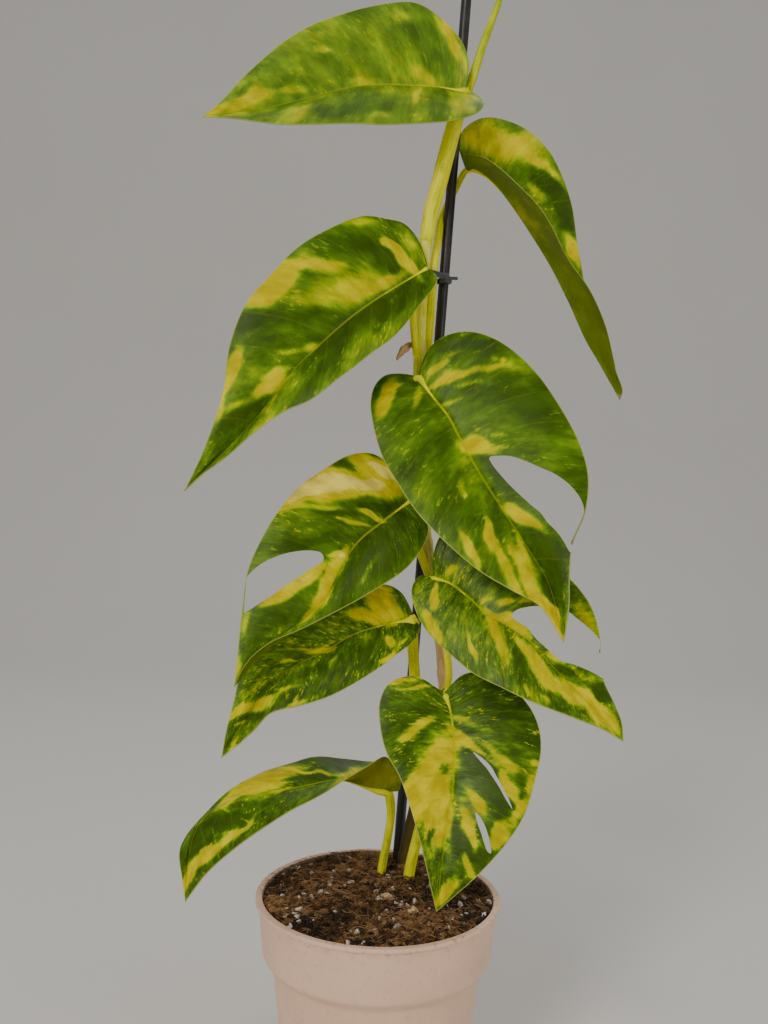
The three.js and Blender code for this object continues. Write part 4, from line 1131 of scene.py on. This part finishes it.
def spearWidth(along, angle):
    gap = angleFrom(angle, spearForm["foldTurn"] + along * spearForm["twist"])
    fold = spearForm["fold"] * math.exp(-(gap / spearForm["foldWidth"]) ** 2)
    return taper(spearRadii, along) * (1 - fold)


spearSkin = stalkSkin("spearSkin", [
    (0.3, (0.26, 0.4, 0.0)), (0.45, (0.42, 0.52, 0.0)), (0.58, (0.56, 0.62, 0.0)),
    (0.75, (0.76, 0.74, 0.05))], 7.0)
piece = sweptPiece("spearPiece", routeOf(spearPath), spearWidth, spearSkin,
                   spearForm["sides"], spearForm["rings"])
settle(piece, "stalk_tissue", "new_leaf_spear")

rootSkin = stalkSkin("rootSkin", [
    (0.3, (0.3, 0.15, 0.05)), (0.45, (0.56, 0.34, 0.14)), (0.58, (0.72, 0.5, 0.25)),
    (0.75, (0.8, 0.62, 0.38))], 6.0, (0.7, 0.9), 0.3, 0)
rootForm = {"sides": 16, "rings": 30, "lump": 0.09, "lumpPace": 19, "ridge": 0.07, "ridgePace": 7}


def rootWidth(along, angle):
    lump = rootForm["lump"] * math.sin(along * rootForm["lumpPace"] + angle)
    ridge = rootForm["ridge"] * math.sin(angle * 2 + along * rootForm["ridgePace"])
    return taper(rootRadii, along) * (1 + lump + ridge)


piece = sweptPiece("rootPiece", routeOf(rootPath), rootWidth, rootSkin, rootForm["sides"],
                   rootForm["rings"])
settle(piece, "root_tissue", "aerial_root")


# Black plastic: the stake and the tie that holds the stem to it
def plasticSkin(name, tone, shine, scratch):
    skin = Skin(name)
    place = skin.place()
    wear = skin.noise(skin.stretch(place, (1, 1, 0.08)), 900, 3, 0.6)
    dust = skin.noise(place, 120, 4, 0.6)
    colour = skin.blend(skin.spread(dust, 0.45, 0.75, 0, 0.5), (*tone, 1),
                        (*(c * 2.4 + 0.01 for c in tone), 1))
    colour = skin.blend(skin.spread(wear, 0.62, 0.75, 0, scratch), colour, (0.16, 0.16, 0.16, 1))
    rough = skin.spread(dust, 0.3, 0.75, *shine)
    return skin.finish(colour=colour, roughness=rough, normal=skin.bump(wear, 0.02))


print("stake and tie")
stakeForm = {"sides": 48, "rings": 24, "radius": 2.7, "buried": 38, "seam": 0.05,
             "seamTurn": 0.9, "seamWidth": 0.06}
stakeFootPoint, stakeTopPoint = seen(stakeFoot), seen(stakeTop)
lean = (stakeTopPoint - stakeFootPoint).normalized()
stakeCurve = Path([stakeFootPoint - lean * stakeForm["buried"],
                   stakeFootPoint.lerp(stakeTopPoint, 0.5), stakeTopPoint])


def stakeWidth(along, angle):
    gap = math.sin(angle / 2 + stakeForm["seamTurn"]) / stakeForm["seamWidth"]
    seam = math.exp(-(gap ** 2))
    return stakeForm["radius"] * (1 + stakeForm["seam"] * seam)


stakeSkin = plasticSkin("stakeSkin", (0.012, 0.011, 0.01), (0.3, 0.5), 0.5)
piece = sweptPiece("stakePiece", stakeCurve, stakeWidth, stakeSkin, stakeForm["sides"],
                   stakeForm["rings"])
settle(piece, "stake_plastic", "stake")

tieForm = {  # sizes are across, deep and high
    "height": 417, "width": 3, "strap": 1.1, "slack": 0.5, "squareness": 0.35, "stem": 3.1,
    "head": (5, 3.4, 5), "headBevel": 0.28, "latch": (3.1, 0.5, 1.7), "latchBevel": 0.15,
    "tail": (5, 1.2, 1.6), "tailBevel": 0.2, "overlap": 0.5, "teeth": 5,
    "tooth": (0.34, 0.3, 1.1), "toothBevel": 0.08, "toothFrom": (-1.6, -0.6), "toothStep": 0.8,
}


def atHeight(route, height, steps=2000):
    spots = (route.at(i / steps) for i in range(steps + 1))
    return next(spot for spot in spots if spot.z >= height)


def boxPiece(name, centre, size, skin, bevel):
    mesh = bmesh.new()
    bmesh.ops.create_cube(mesh, size=1)
    for vertex in mesh.verts:
        vertex.co = (centre + Vector(c * s for c, s in zip(vertex.co, size))) * mm
    bmesh.ops.bevel(mesh, geom=mesh.edges[:], offset=bevel * mm, segments=3, affect="EDGES",
                    profile=0.5)
    return builtPiece(name, mesh, skin)


def strapPiece(form, held, skin, count=96, corners=12):
    def rounder(part, size):
        return math.copysign(abs(part) ** form["squareness"], part) * size / 2

    points = []
    for i in range(count):
        angle = 2 * math.pi * i / count
        outwards = Vector((math.cos(angle), math.sin(angle), 0))
        centre, radius = max(held, key=lambda item: item[0].dot(outwards) + item[1])
        middle = centre + outwards * (radius + form["slack"] + form["strap"] / 2)
        for j in range(corners):
            x, z = turnedBy(2 * math.pi * j / corners)
            x, z = rounder(x, form["strap"]), rounder(z, form["width"])
            points.append(Vector((middle.x, middle.y, form["height"] + z)) + outwards * x)
    faces = []
    for i in range(count):
        for j in range(corners):
            a, b = i * corners + j, i * corners + (j + 1) % corners
            c, d = (a + corners) % len(points), (b + corners) % len(points)
            faces.append((a, c, d, b))
    piece = meshPiece("tieStrap", points, faces, skin)
    outward(piece)
    return piece


tieSkin = plasticSkin("tieSkin", (0.05, 0.052, 0.055), (0.3, 0.5), 0.35)
level = tieForm["height"]
stalkCentre = atHeight(routeOf(petioles["leaf_2"]["path"]), level)
held = [(atHeight(stemCurve, level), tieForm["stem"]),
        (stalkCentre, petioles["leaf_2"]["radius"][0]),
        (atHeight(stakeCurve, level), stakeForm["radius"])]
headWidth, headDepth, _ = tieForm["head"]
stakeCentre = held[2][0]
front = stakeCentre.y - stakeForm["radius"] - tieForm["slack"] - headDepth / 2
headCentre = Vector((stakeCentre.x, front, level))
tailCentre = headCentre + Vector(((headWidth + tieForm["tail"][0]) / 2 - tieForm["overlap"], 0, 0))
boxes = [("tieHead", "head", headCentre),
         ("tieLatch", "latch", headCentre + Vector((0, -headDepth / 2, 0))),
         ("tieTail", "tail", tailCentre)]
toothX, toothY = tieForm["toothFrom"]
for i in range(tieForm["teeth"]):
    place = tailCentre + Vector((toothX + i * tieForm["toothStep"], toothY, 0))
    boxes.append((f"tieTooth{i}", "tooth", place))
settle(strapPiece(tieForm, held, tieSkin), "tie_plastic", "stake_tie")
for name, part, place in boxes:
    piece = boxPiece(name, place, tieForm[part], tieSkin, tieForm[f"{part}Bevel"])
    settle(piece, "tie_plastic", "stake_tie")


# Pot: a thin moulded wall with a stepped collar, a rolled lip and a drained foot
potForm = {  # profiles are [radius, height, rounding]
    "sides": 144, "cornerSteps": 5, "sharpAngle": 0.6, "drains": 8, "drainSides": 32,
    "drainRadius": 4, "drainCircle": 33, "drainFrom": -3, "drainTo": 6,
    "outside": [
        [0, 0.8, 0], [40.2, 0.8, 0.6], [40.6, 0, 0.3], [42, 0, 0.4], [42.5, 1, 0.4],
        [51, 73.5, 1.6], [56, 78.5, 1.6], [58.3, 102.3, 0.5], [60, 103.1, 0.5], [60, 104.8, 0.6],
        [59.2, 105, 0.3],
    ],
    "inside": [
        [56.7, 105, 0.5], [54.4, 79.3, 1.2], [49.4, 74.3, 1.2], [40.9, 2, 1.2], [0, 2, 0],
    ],
}


def rounded(profile, steps):
    points = [Vector((r, z)) for r, z, _ in profile]
    line = [points[0]]
    for i in range(1, len(points) - 1):
        before, corner, after = points[i - 1], points[i], points[i + 1]
        reach = profile[i][2]
        start = corner + (before - corner).normalized() * min(reach, (before - corner).length / 2)
        end = corner + (after - corner).normalized() * min(reach, (after - corner).length / 2)
        for step in range(steps + 1):
            t = step / steps
            line.append(start * (1 - t) ** 2 + corner * 2 * t * (1 - t) + end * t ** 2)
    line.append(points[-1])
    return line


def latheMesh(line, sides):
    points, faces, rows = [], [], []
    for spot in line:
        if spot.x < 1e-6:  # one point on the axis
            rows.append([len(points)] * sides)
            points.append(Vector((0, 0, spot.y)))
            continue
        rows.append(list(range(len(points), len(points) + sides)))
        for j in range(sides):
            x, y = turnedBy(2 * math.pi * j / sides)
            points.append(Vector((spot.x * x, spot.x * y, spot.y)))
    for low, high in zip(rows, rows[1:]):
        for j in range(sides):
            k = (j + 1) % sides
            corners = []
            for index in (low[j], low[k], high[k], high[j]):
                if index not in corners:
                    corners.append(index)
            if len(corners) > 2:
                faces.append(tuple(corners))
    return points, faces


def potSkin():
    skin = Skin("potSkin")
    place = skin.place()
    cloud = skin.noise(place, 22, 4, 0.6)
    grain = skin.noise(place, 1500, 3, 0.6)
    streak = skin.noise(skin.stretch(place, (1, 1, 0.12)), 160, 4, 0.6)
    colour = skin.ramp(cloud, [
        (0.3, (0.76, 0.51, 0.36)), (0.5, (0.84, 0.56, 0.4)), (0.7, (0.9, 0.61, 0.44))])
    scuff = skin.spread(streak, 0.6, 0.74, 0, 0.3)
    colour = skin.blend(scuff, colour, (0.92, 0.7, 0.55, 1))
    dirt = skin.noise(place, 340, 4, 0.7)
    height = skin.split(place)[2]
    nearRim = skin.spread(height, 0.097, 0.1045, 0.12, 0.42)
    dusty = skin.math("MULTIPLY", nearRim, skin.spread(dirt, 0.54, 0.68))
    colour = skin.blend(dusty, colour, (0.09, 0.05, 0.028, 1))
    rough = skin.spread(cloud, 0.3, 0.7, 0.48, 0.62)
    bumps = skin.bump(grain, 0.03)
    bumps = skin.bump(streak, 0.05, bumps)
    return skin.finish(colour=colour, roughness=rough, normal=bumps)


print("pot")
line = rounded(potForm["outside"] + potForm["inside"], potForm["cornerSteps"])
points, faces = latheMesh(line, potForm["sides"])
pot = meshPiece("potPiece", points, faces, potSkin())
outward(pot)
points, faces = [], []
for i in range(potForm["drains"]):
    x, y = turnedBy((i + 0.5) / potForm["drains"] * 2 * math.pi)
    middle = Vector((x, y, 0)) * potForm["drainCircle"]
    turns = [turnedBy(2 * math.pi * j / potForm["drainSides"])
             for j in range(potForm["drainSides"])]
    ring = [middle + Vector((x, y, 0)) * potForm["drainRadius"] for x, y in turns]
    faces += prismFaces(len(ring), len(points))
    points += [Vector((p.x, p.y, z)) for z in (potForm["drainFrom"], potForm["drainTo"])
               for p in ring]
carve(pot, "drains", points, faces)


def sharpened(piece, angle):
    mesh = bmesh.new()
    mesh.from_mesh(piece.data)
    for edge in mesh.edges:
        if len(edge.link_faces) == 2:
            edge.smooth = edge.calc_face_angle() < angle
    mesh.to_mesh(piece.data)
    mesh.free()


sharpened(pot, potForm["sharpAngle"])
settle(pot, "pot_plastic", "pot")


# Potting mix: a lumpy bed, then crumbs, fibres and perlite scattered over it by Geometry Nodes
mixForm = {
    "rings": 90, "sides": 240, "radius": 56.4, "top": 104, "edge": 103.6, "mound": 3.2,
    "lump": 0.7, "rough": 1.2, "coarse": (0.35, 0.8, 3), "fine": (1.1, 0.5, 9), "sink": 0.3,
    "side": [(0, 2.3), (40.6, 2.3), (49.1, 74.6), (54.1, 79.6), (56.3, 101.5), (56.4, 103)],
}
scatters = {  # sizes and lift are in metres, and tilt is how far a grain may be turned over
    "crumbs": {
        "kind": "crumb", "count": 9500, "flat": True,
        "Smallest": 0.0009, "Largest": 0.0029, "Lift": 0.0002, "Tilt": 6.28, "Seed": 3,
    },
    "fibres": {
        "kind": "fibre", "count": 3300, "flat": False,
        "Smallest": 0.0026, "Largest": 0.0062, "Lift": 0.0008, "Tilt": 0.9, "Seed": 11,
    },
    "perlite": {
        "kind": "grain", "count": 95, "flat": True,
        "Smallest": 0.001, "Largest": 0.0034, "Lift": 0.0006, "Tilt": 6.28, "Seed": 23,
    },
}


def bedHeight(x, y):
    outwards = math.hypot(x, y) / mixForm["radius"]
    lumps = math.sin(x * 0.21 + 1) * math.cos(y * 0.17) + math.sin((x + y) * 0.37)
    return (mixForm["edge"] + mixForm["mound"] * (1 - outwards ** 2)
            + mixForm["lump"] * lumps * (1 - outwards ** 6))


def earthSkin(name, grainSize, lift=0.0):
    skin = Skin(name)
    place = skin.place()
    grain = skin.node("ShaderNodeTexVoronoi", "Color", {"Vector": place, "Scale": grainSize})
    grain = skin.split(grain)[0]
    fine = skin.noise(place, 1400, 4, 0.65)
    zone = skin.noise(place, 30, 3, 0.6)
    value = skin.math("MULTIPLY_ADD", grain, 0.5, skin.math("MULTIPLY", fine, 0.5))
    value = skin.math("ADD", skin.swayed(value, zone, 1.0), lift)
    colour = skin.ramp(value, [
        (0.25, (0.006, 0.003, 0.002)), (0.42, (0.02, 0.009, 0.003)), (0.55, (0.062, 0.027, 0.007)),
        (0.68, (0.17, 0.078, 0.02)), (0.85, (0.4, 0.22, 0.09))])
    bumps = skin.bump(fine, 0.35)
    return skin.finish(colour=colour, roughness=skin.spread(fine, 0.3, 0.7, 0.75, 0.95),
                       normal=bumps)


def paleSkin(name, tones, scale):
    skin = Skin(name)
    place = skin.place()
    cloud = skin.noise(place, scale, 4, 0.65)
    pits = skin.cells(place, scale * 4)
    colour = skin.ramp(cloud, tones)
    stain = skin.spread(skin.noise(place, scale * 0.7, 3), 0.5, 0.7, 0, 0.55)
    colour = skin.blend(stain, colour, (0.2, 0.13, 0.07, 1))
    bumps = skin.bump(pits, 0.25)
    return skin.finish(colour=colour, roughness=skin.spread(cloud, 0.3, 0.7, 0.7, 0.9),
                       normal=bumps)


fibreForm = {  # shares of a fibre's length
    "sides": 3, "steps": 9, "radius": 0.028, "thinning": 0.7, "curl": (1.2, 2.8),
    "twist": (-0.6, 0.6), "reach": (0.55, 0.9, 0.35),
}
grainForm = {"lumps": 2.3, "push": 0.75, "height": 0.75, "detail": {"crumb": 1, "grain": 2}}


def fibreMesh(form, seed):
    mesh = bmesh.new()
    bend = random.Random(seed)
    curl, twist = bend.uniform(*form["curl"]), bend.uniform(*form["twist"])
    sideways, lengthwise, upwards = form["reach"]
    rows = []
    for i in range(form["steps"] + 1):
        t = i / form["steps"] - 0.5
        centre = Vector((math.sin(t * curl) * sideways, t * lengthwise,
                         math.cos(t * curl) * upwards + twist * t * t))
        radius = form["radius"] * (1 - (2 * t) ** 4 * form["thinning"])
        turns = [turnedBy(2 * math.pi * j / form["sides"]) for j in range(form["sides"])]
        rows.append([mesh.verts.new(centre + Vector((x, 0, z)) * radius) for x, z in turns])
    for low, high in zip(rows, rows[1:]):
        for j in range(form["sides"]):
            k = (j + 1) % form["sides"]
            mesh.faces.new((low[j], low[k], high[k], high[j]))
    mesh.faces.new(rows[0][::-1])
    mesh.faces.new(rows[-1])
    bmesh.ops.recalc_face_normals(mesh, faces=mesh.faces)
    return mesh


def grainMesh(form, kind, seed):
    mesh = bmesh.new()
    bmesh.ops.create_icosphere(mesh, subdivisions=form["detail"][kind], radius=0.5)
    for vertex in mesh.verts:
        push = noise.noise(vertex.co * form["lumps"] + Vector((seed * 7.7, 0, 0)))
        vertex.co *= 1 + form["push"] * push
        vertex.co.z *= form["height"]
    return mesh


def sampleShape(name, kind, seed):
    if kind == "fibre":
        return builtPiece(name, fibreMesh(fibreForm, seed))
    return builtPiece(name, grainMesh(grainForm, kind, seed))


def scatterTree(name, shapes, skin):
    tree = bpy.data.node_groups.new(name, "GeometryNodeTree")
    face = tree.interface
    face.new_socket("Geometry", in_out="OUTPUT", socket_type="NodeSocketGeometry")
    face.new_socket("Geometry", in_out="INPUT", socket_type="NodeSocketGeometry")
    for label in ("Density", "Smallest", "Largest", "Lift", "Tilt"):
        face.new_socket(label, in_out="INPUT", socket_type="NodeSocketFloat")
    face.new_socket("Seed", in_out="INPUT", socket_type="NodeSocketInt")

    def add(kind, inputs=None, **settings):
        made = tree.nodes.new(kind)
        for key, value in settings.items():
            setattr(made, key, value)
        for key, value in (inputs or {}).items():
            socket = made.inputs[key]
            if isinstance(value, bpy.types.NodeSocket):
                tree.links.new(value, socket)
            else:
                socket.default_value = value
        return made

    given = add("NodeGroupInput").outputs
    spots = add("GeometryNodeDistributePointsOnFaces",
                {"Mesh": given["Geometry"], "Density": given["Density"], "Seed": given["Seed"]})
    gather = add("GeometryNodeJoinGeometry")
    for shape in shapes:
        source = add("GeometryNodeObjectInfo", {"Object": shape, "As Instance": True})
        tree.links.new(source.outputs["Geometry"], gather.inputs[0])
    size = add("FunctionNodeRandomValue", data_type="FLOAT")
    tree.links.new(given["Smallest"], size.inputs[2])
    tree.links.new(given["Largest"], size.inputs[3])
    tree.links.new(given["Seed"], size.inputs["Seed"])
    lean = add("ShaderNodeCombineXYZ",
               {"X": given["Tilt"], "Y": given["Tilt"], "Z": 2 * math.pi})
    turn = add("FunctionNodeRandomValue", data_type="FLOAT_VECTOR")
    turn.inputs[0].default_value = (0, 0, 0)
    tree.links.new(lean.outputs[0], turn.inputs[1])
    tree.links.new(given["Seed"], turn.inputs["Seed"])
    pick = add("FunctionNodeRandomValue", data_type="INT")
    pick.inputs[4].default_value = 0
    pick.inputs[5].default_value = len(shapes) - 1
    placed = add("GeometryNodeInstanceOnPoints", {
        "Points": spots.outputs["Points"], "Instance": gather.outputs[0],
        "Pick Instance": True, "Instance Index": pick.outputs[2],
        "Rotation": turn.outputs[0], "Scale": size.outputs[1]})
    raised = add("ShaderNodeCombineXYZ", {"Z": given["Lift"]})
    moved = add("GeometryNodeTranslateInstances", {
        "Instances": placed.outputs[0], "Translation": raised.outputs[0], "Local Space": False})
    real = add("GeometryNodeRealizeInstances", {"Geometry": moved.outputs[0]})
    painted = add("GeometryNodeSetMaterial", {"Geometry": real.outputs[0], "Material": skin})
    result = add("NodeGroupOutput")
    tree.links.new(painted.outputs[0], result.inputs[0])
    return tree


def scatterPiece(name, form, bed, skin):
    area = sum(polygon.area for polygon in bed.polygons)
    settings = {**form, "Density": form["count"] / area}
    shapes = [sampleShape(f"{name}Shape{i}", form["kind"], i + form["Seed"]) for i in range(4)]
    tree = scatterTree(name, shapes, skin)
    piece = linked(name, bed.copy())
    scatter = piece.modifiers.new("scatter", "NODES")
    scatter.node_group = tree
    for item in tree.interface.items_tree:
        if item.item_type == "SOCKET" and item.in_out == "INPUT" and item.name in settings:
            scatter[item.identifier] = settings[item.name]
    applied(piece)
    for polygon in piece.data.polygons:
        polygon.use_smooth = not form["flat"]
    for shape in shapes:
        bpy.data.objects.remove(shape)
    return piece


def bedPiece(form, skin):
    line = [Vector(spot) for spot in form["side"]]
    for i in range(form["rings"] + 1):
        line.append(Vector((form["radius"] * (1 - i / form["rings"]), form["top"])))
    points, faces = latheMesh(line, form["sides"])
    for point in points:
        if point.z >= form["top"]:  # the flat top becomes the lumpy one
            lumps = sum(weight * noise.noise(Vector((point.x * pace, point.y * pace, layer)))
                        for pace, weight, layer in (form["coarse"], form["fine"]))
            point.z = bedHeight(point.x, point.y) + form["rough"] * lumps - form["sink"]
    piece = meshPiece("bedPiece", points, faces, skin)
    outward(piece)
    return piece


def bedTop(bed, lowest=0.1015, flattest=0.2, reach=0.0552):  # where grains may lie, in metres
    mesh = bmesh.new()
    mesh.from_mesh(bed.data)
    unwanted = [face for face in mesh.faces
                if face.calc_center_median().z < lowest or face.normal.z < flattest
                or math.hypot(*face.calc_center_median().xy) > reach]
    bmesh.ops.delete(mesh, geom=unwanted, context="FACES")
    top = bpy.data.meshes.new("bedTop")
    mesh.to_mesh(top)
    mesh.free()
    return top


print("potting mix")
bed = bedPiece(mixForm, earthSkin("bedSkin", 420))
settle(bed, "potting_mix", "potting_mix")
bedFaces = bedTop(bed)
perliteTones = [(0.3, (0.5, 0.43, 0.36)), (0.5, (0.72, 0.66, 0.58)), (0.7, (0.86, 0.82, 0.75))]
scatterSkins = {
    "crumbs": earthSkin("crumbSkin", 330, 0.02),
    "fibres": earthSkin("fibreSkin", 260, 0.22),
    "perlite": paleSkin("perliteSkin", perliteTones, 420),
}
for name, form in scatters.items():
    piece = scatterPiece(name, form, bedFaces, scatterSkins[name])
    settle(piece, "potting_mix", "potting_mix")

stoneTones = {
    "tan": [(0.3, (0.3, 0.2, 0.09)), (0.5, (0.52, 0.38, 0.2)), (0.7, (0.66, 0.52, 0.31))],
    "cream": [(0.3, (0.5, 0.36, 0.13)), (0.5, (0.74, 0.58, 0.27)), (0.7, (0.82, 0.7, 0.42))],
    "pale": [(0.3, (0.4, 0.35, 0.28)), (0.5, (0.62, 0.56, 0.47)), (0.7, (0.74, 0.7, 0.62))],
    "grey": [(0.3, (0.2, 0.17, 0.13)), (0.5, (0.34, 0.3, 0.23)), (0.7, (0.46, 0.41, 0.33))],
}
stoneSkins = {tone: paleSkin(f"{tone}Skin", stops, 260) for tone, stops in stoneTones.items()}


stoneForm = {"detail": 4, "raised": 0.45, "lumps": (1.3, 0.35), "grit": (5, 0.1)}


def stonePiece(name, place, half, turn, form, skin):
    mesh = bmesh.new()
    bmesh.ops.create_icosphere(mesh, subdivisions=form["detail"], radius=1)
    turned = Matrix.Rotation(turn, 3, "Z")
    centre = Vector((*place, bedHeight(*place) + half[2] * form["raised"]))
    lumpPace, lumpPush = form["lumps"]
    gritPace, gritPush = form["grit"]
    for vertex in mesh.verts:
        bulk = 1 + lumpPush * noise.noise(vertex.co * lumpPace + centre)
        bulk += gritPush * noise.noise(vertex.co * gritPace)
        shape = Vector(c * h for c, h in zip(vertex.co * bulk, half))
        vertex.co = (turned @ shape + centre) * mm
    return builtPiece(name, mesh, skin)


for i, (x, y, length, width, height, turn, tone) in enumerate(stones):
    piece = stonePiece(f"stone{i}", (x, y), (length, width, height), turn, stoneForm,
                       stoneSkins[tone])
    settle(piece, "potting_mix", "potting_mix")


# Floor, lights and camera
def floorSkin():
    skin = Skin("floorSkin")
    cloud = skin.noise(skin.place(), 3, 3, 0.5)
    colour = skin.blend(cloud, (0.74, 0.73, 0.71, 1), (0.78, 0.77, 0.75, 1))
    return skin.finish(colour=colour, roughness=0.9)


floorForm = {"halfWidth": 3, "front": -4, "bendFrom": 1.2, "bendRadius": 1, "height": 4,
             "bendStep": 6}


def floorPiece(form, skin):  # a floor that bends up into a backdrop, in metres
    bendFrom, radius = form["bendFrom"], form["bendRadius"]
    bend = [math.radians(a) for a in range(form["bendStep"], 91, form["bendStep"])]
    line = [(form["front"], 0), (bendFrom, 0)]
    line += [(bendFrom + radius * math.sin(a), radius - radius * math.cos(a)) for a in bend]
    line.append((bendFrom + radius, form["height"]))
    points = [Vector((x, y, z)) / mm for x in (-form["halfWidth"], form["halfWidth"])
              for y, z in line]
    count = len(line)
    faces = [(i, i + count, i + count + 1, i + 1) for i in range(count - 1)]
    return meshPiece("floor", points, faces, skin)


print("floor, lights and camera")
floorPiece(floorForm, floorSkin())

world = bpy.data.worlds.new("world")
bpy.context.scene.world = world
world.use_nodes = True
sky = world.node_tree.nodes["Background"].inputs
sky["Color"].default_value = (1, 0.97, 0.93, 1)
sky["Strength"].default_value = 0.4


def softLight(name, place, target, size, power, colour):
    light = bpy.data.lights.new(name, "AREA")
    light.shape = "DISK"
    light.size = size
    light.energy = power
    light.color = colour
    lamp = linked(name, light)
    lamp.location = place
    lamp.rotation_euler = (Vector(target) - Vector(place)).to_track_quat("-Z", "Y").to_euler()


softLight("key", (-0.7, -1.35, 0.95), (0, 0, 0.28), 0.5, 10.5, (1, 0.95, 0.87))
softLight("fill", (1.4, -0.9, 0.55), (0, 0, 0.25), 1.0, 4.5, (1, 0.97, 0.92))
softLight("top", (0.3, 0.9, 1.5), (0, 0, 0.35), 0.8, 4, (1, 0.98, 0.95))
softLight("shine", (-0.35, -0.85, 1.5), (0, 0, 0.4), 0.25, 2.2, (1, 0.97, 0.92))

cameraForm = {"roll": 1.4, "lens": 32.52, "sensor": 36, "nearest": 0.01}
camera = linked("camera", bpy.data.cameras.new("camera"))
camera.data.lens = cameraForm["lens"]
camera.data.sensor_width = cameraForm["sensor"]
camera.data.clip_start = cameraForm["nearest"]
x, z = turnedBy(math.radians(cameraForm["roll"]))
camera.matrix_world = Matrix.Translation(eye * mm) @ Matrix((
    (x, -z, 0, 0), (0, 0, -1, 0), (z, x, 0, 0), (0, 0, 0, 1)))
bpy.context.scene.camera = camera
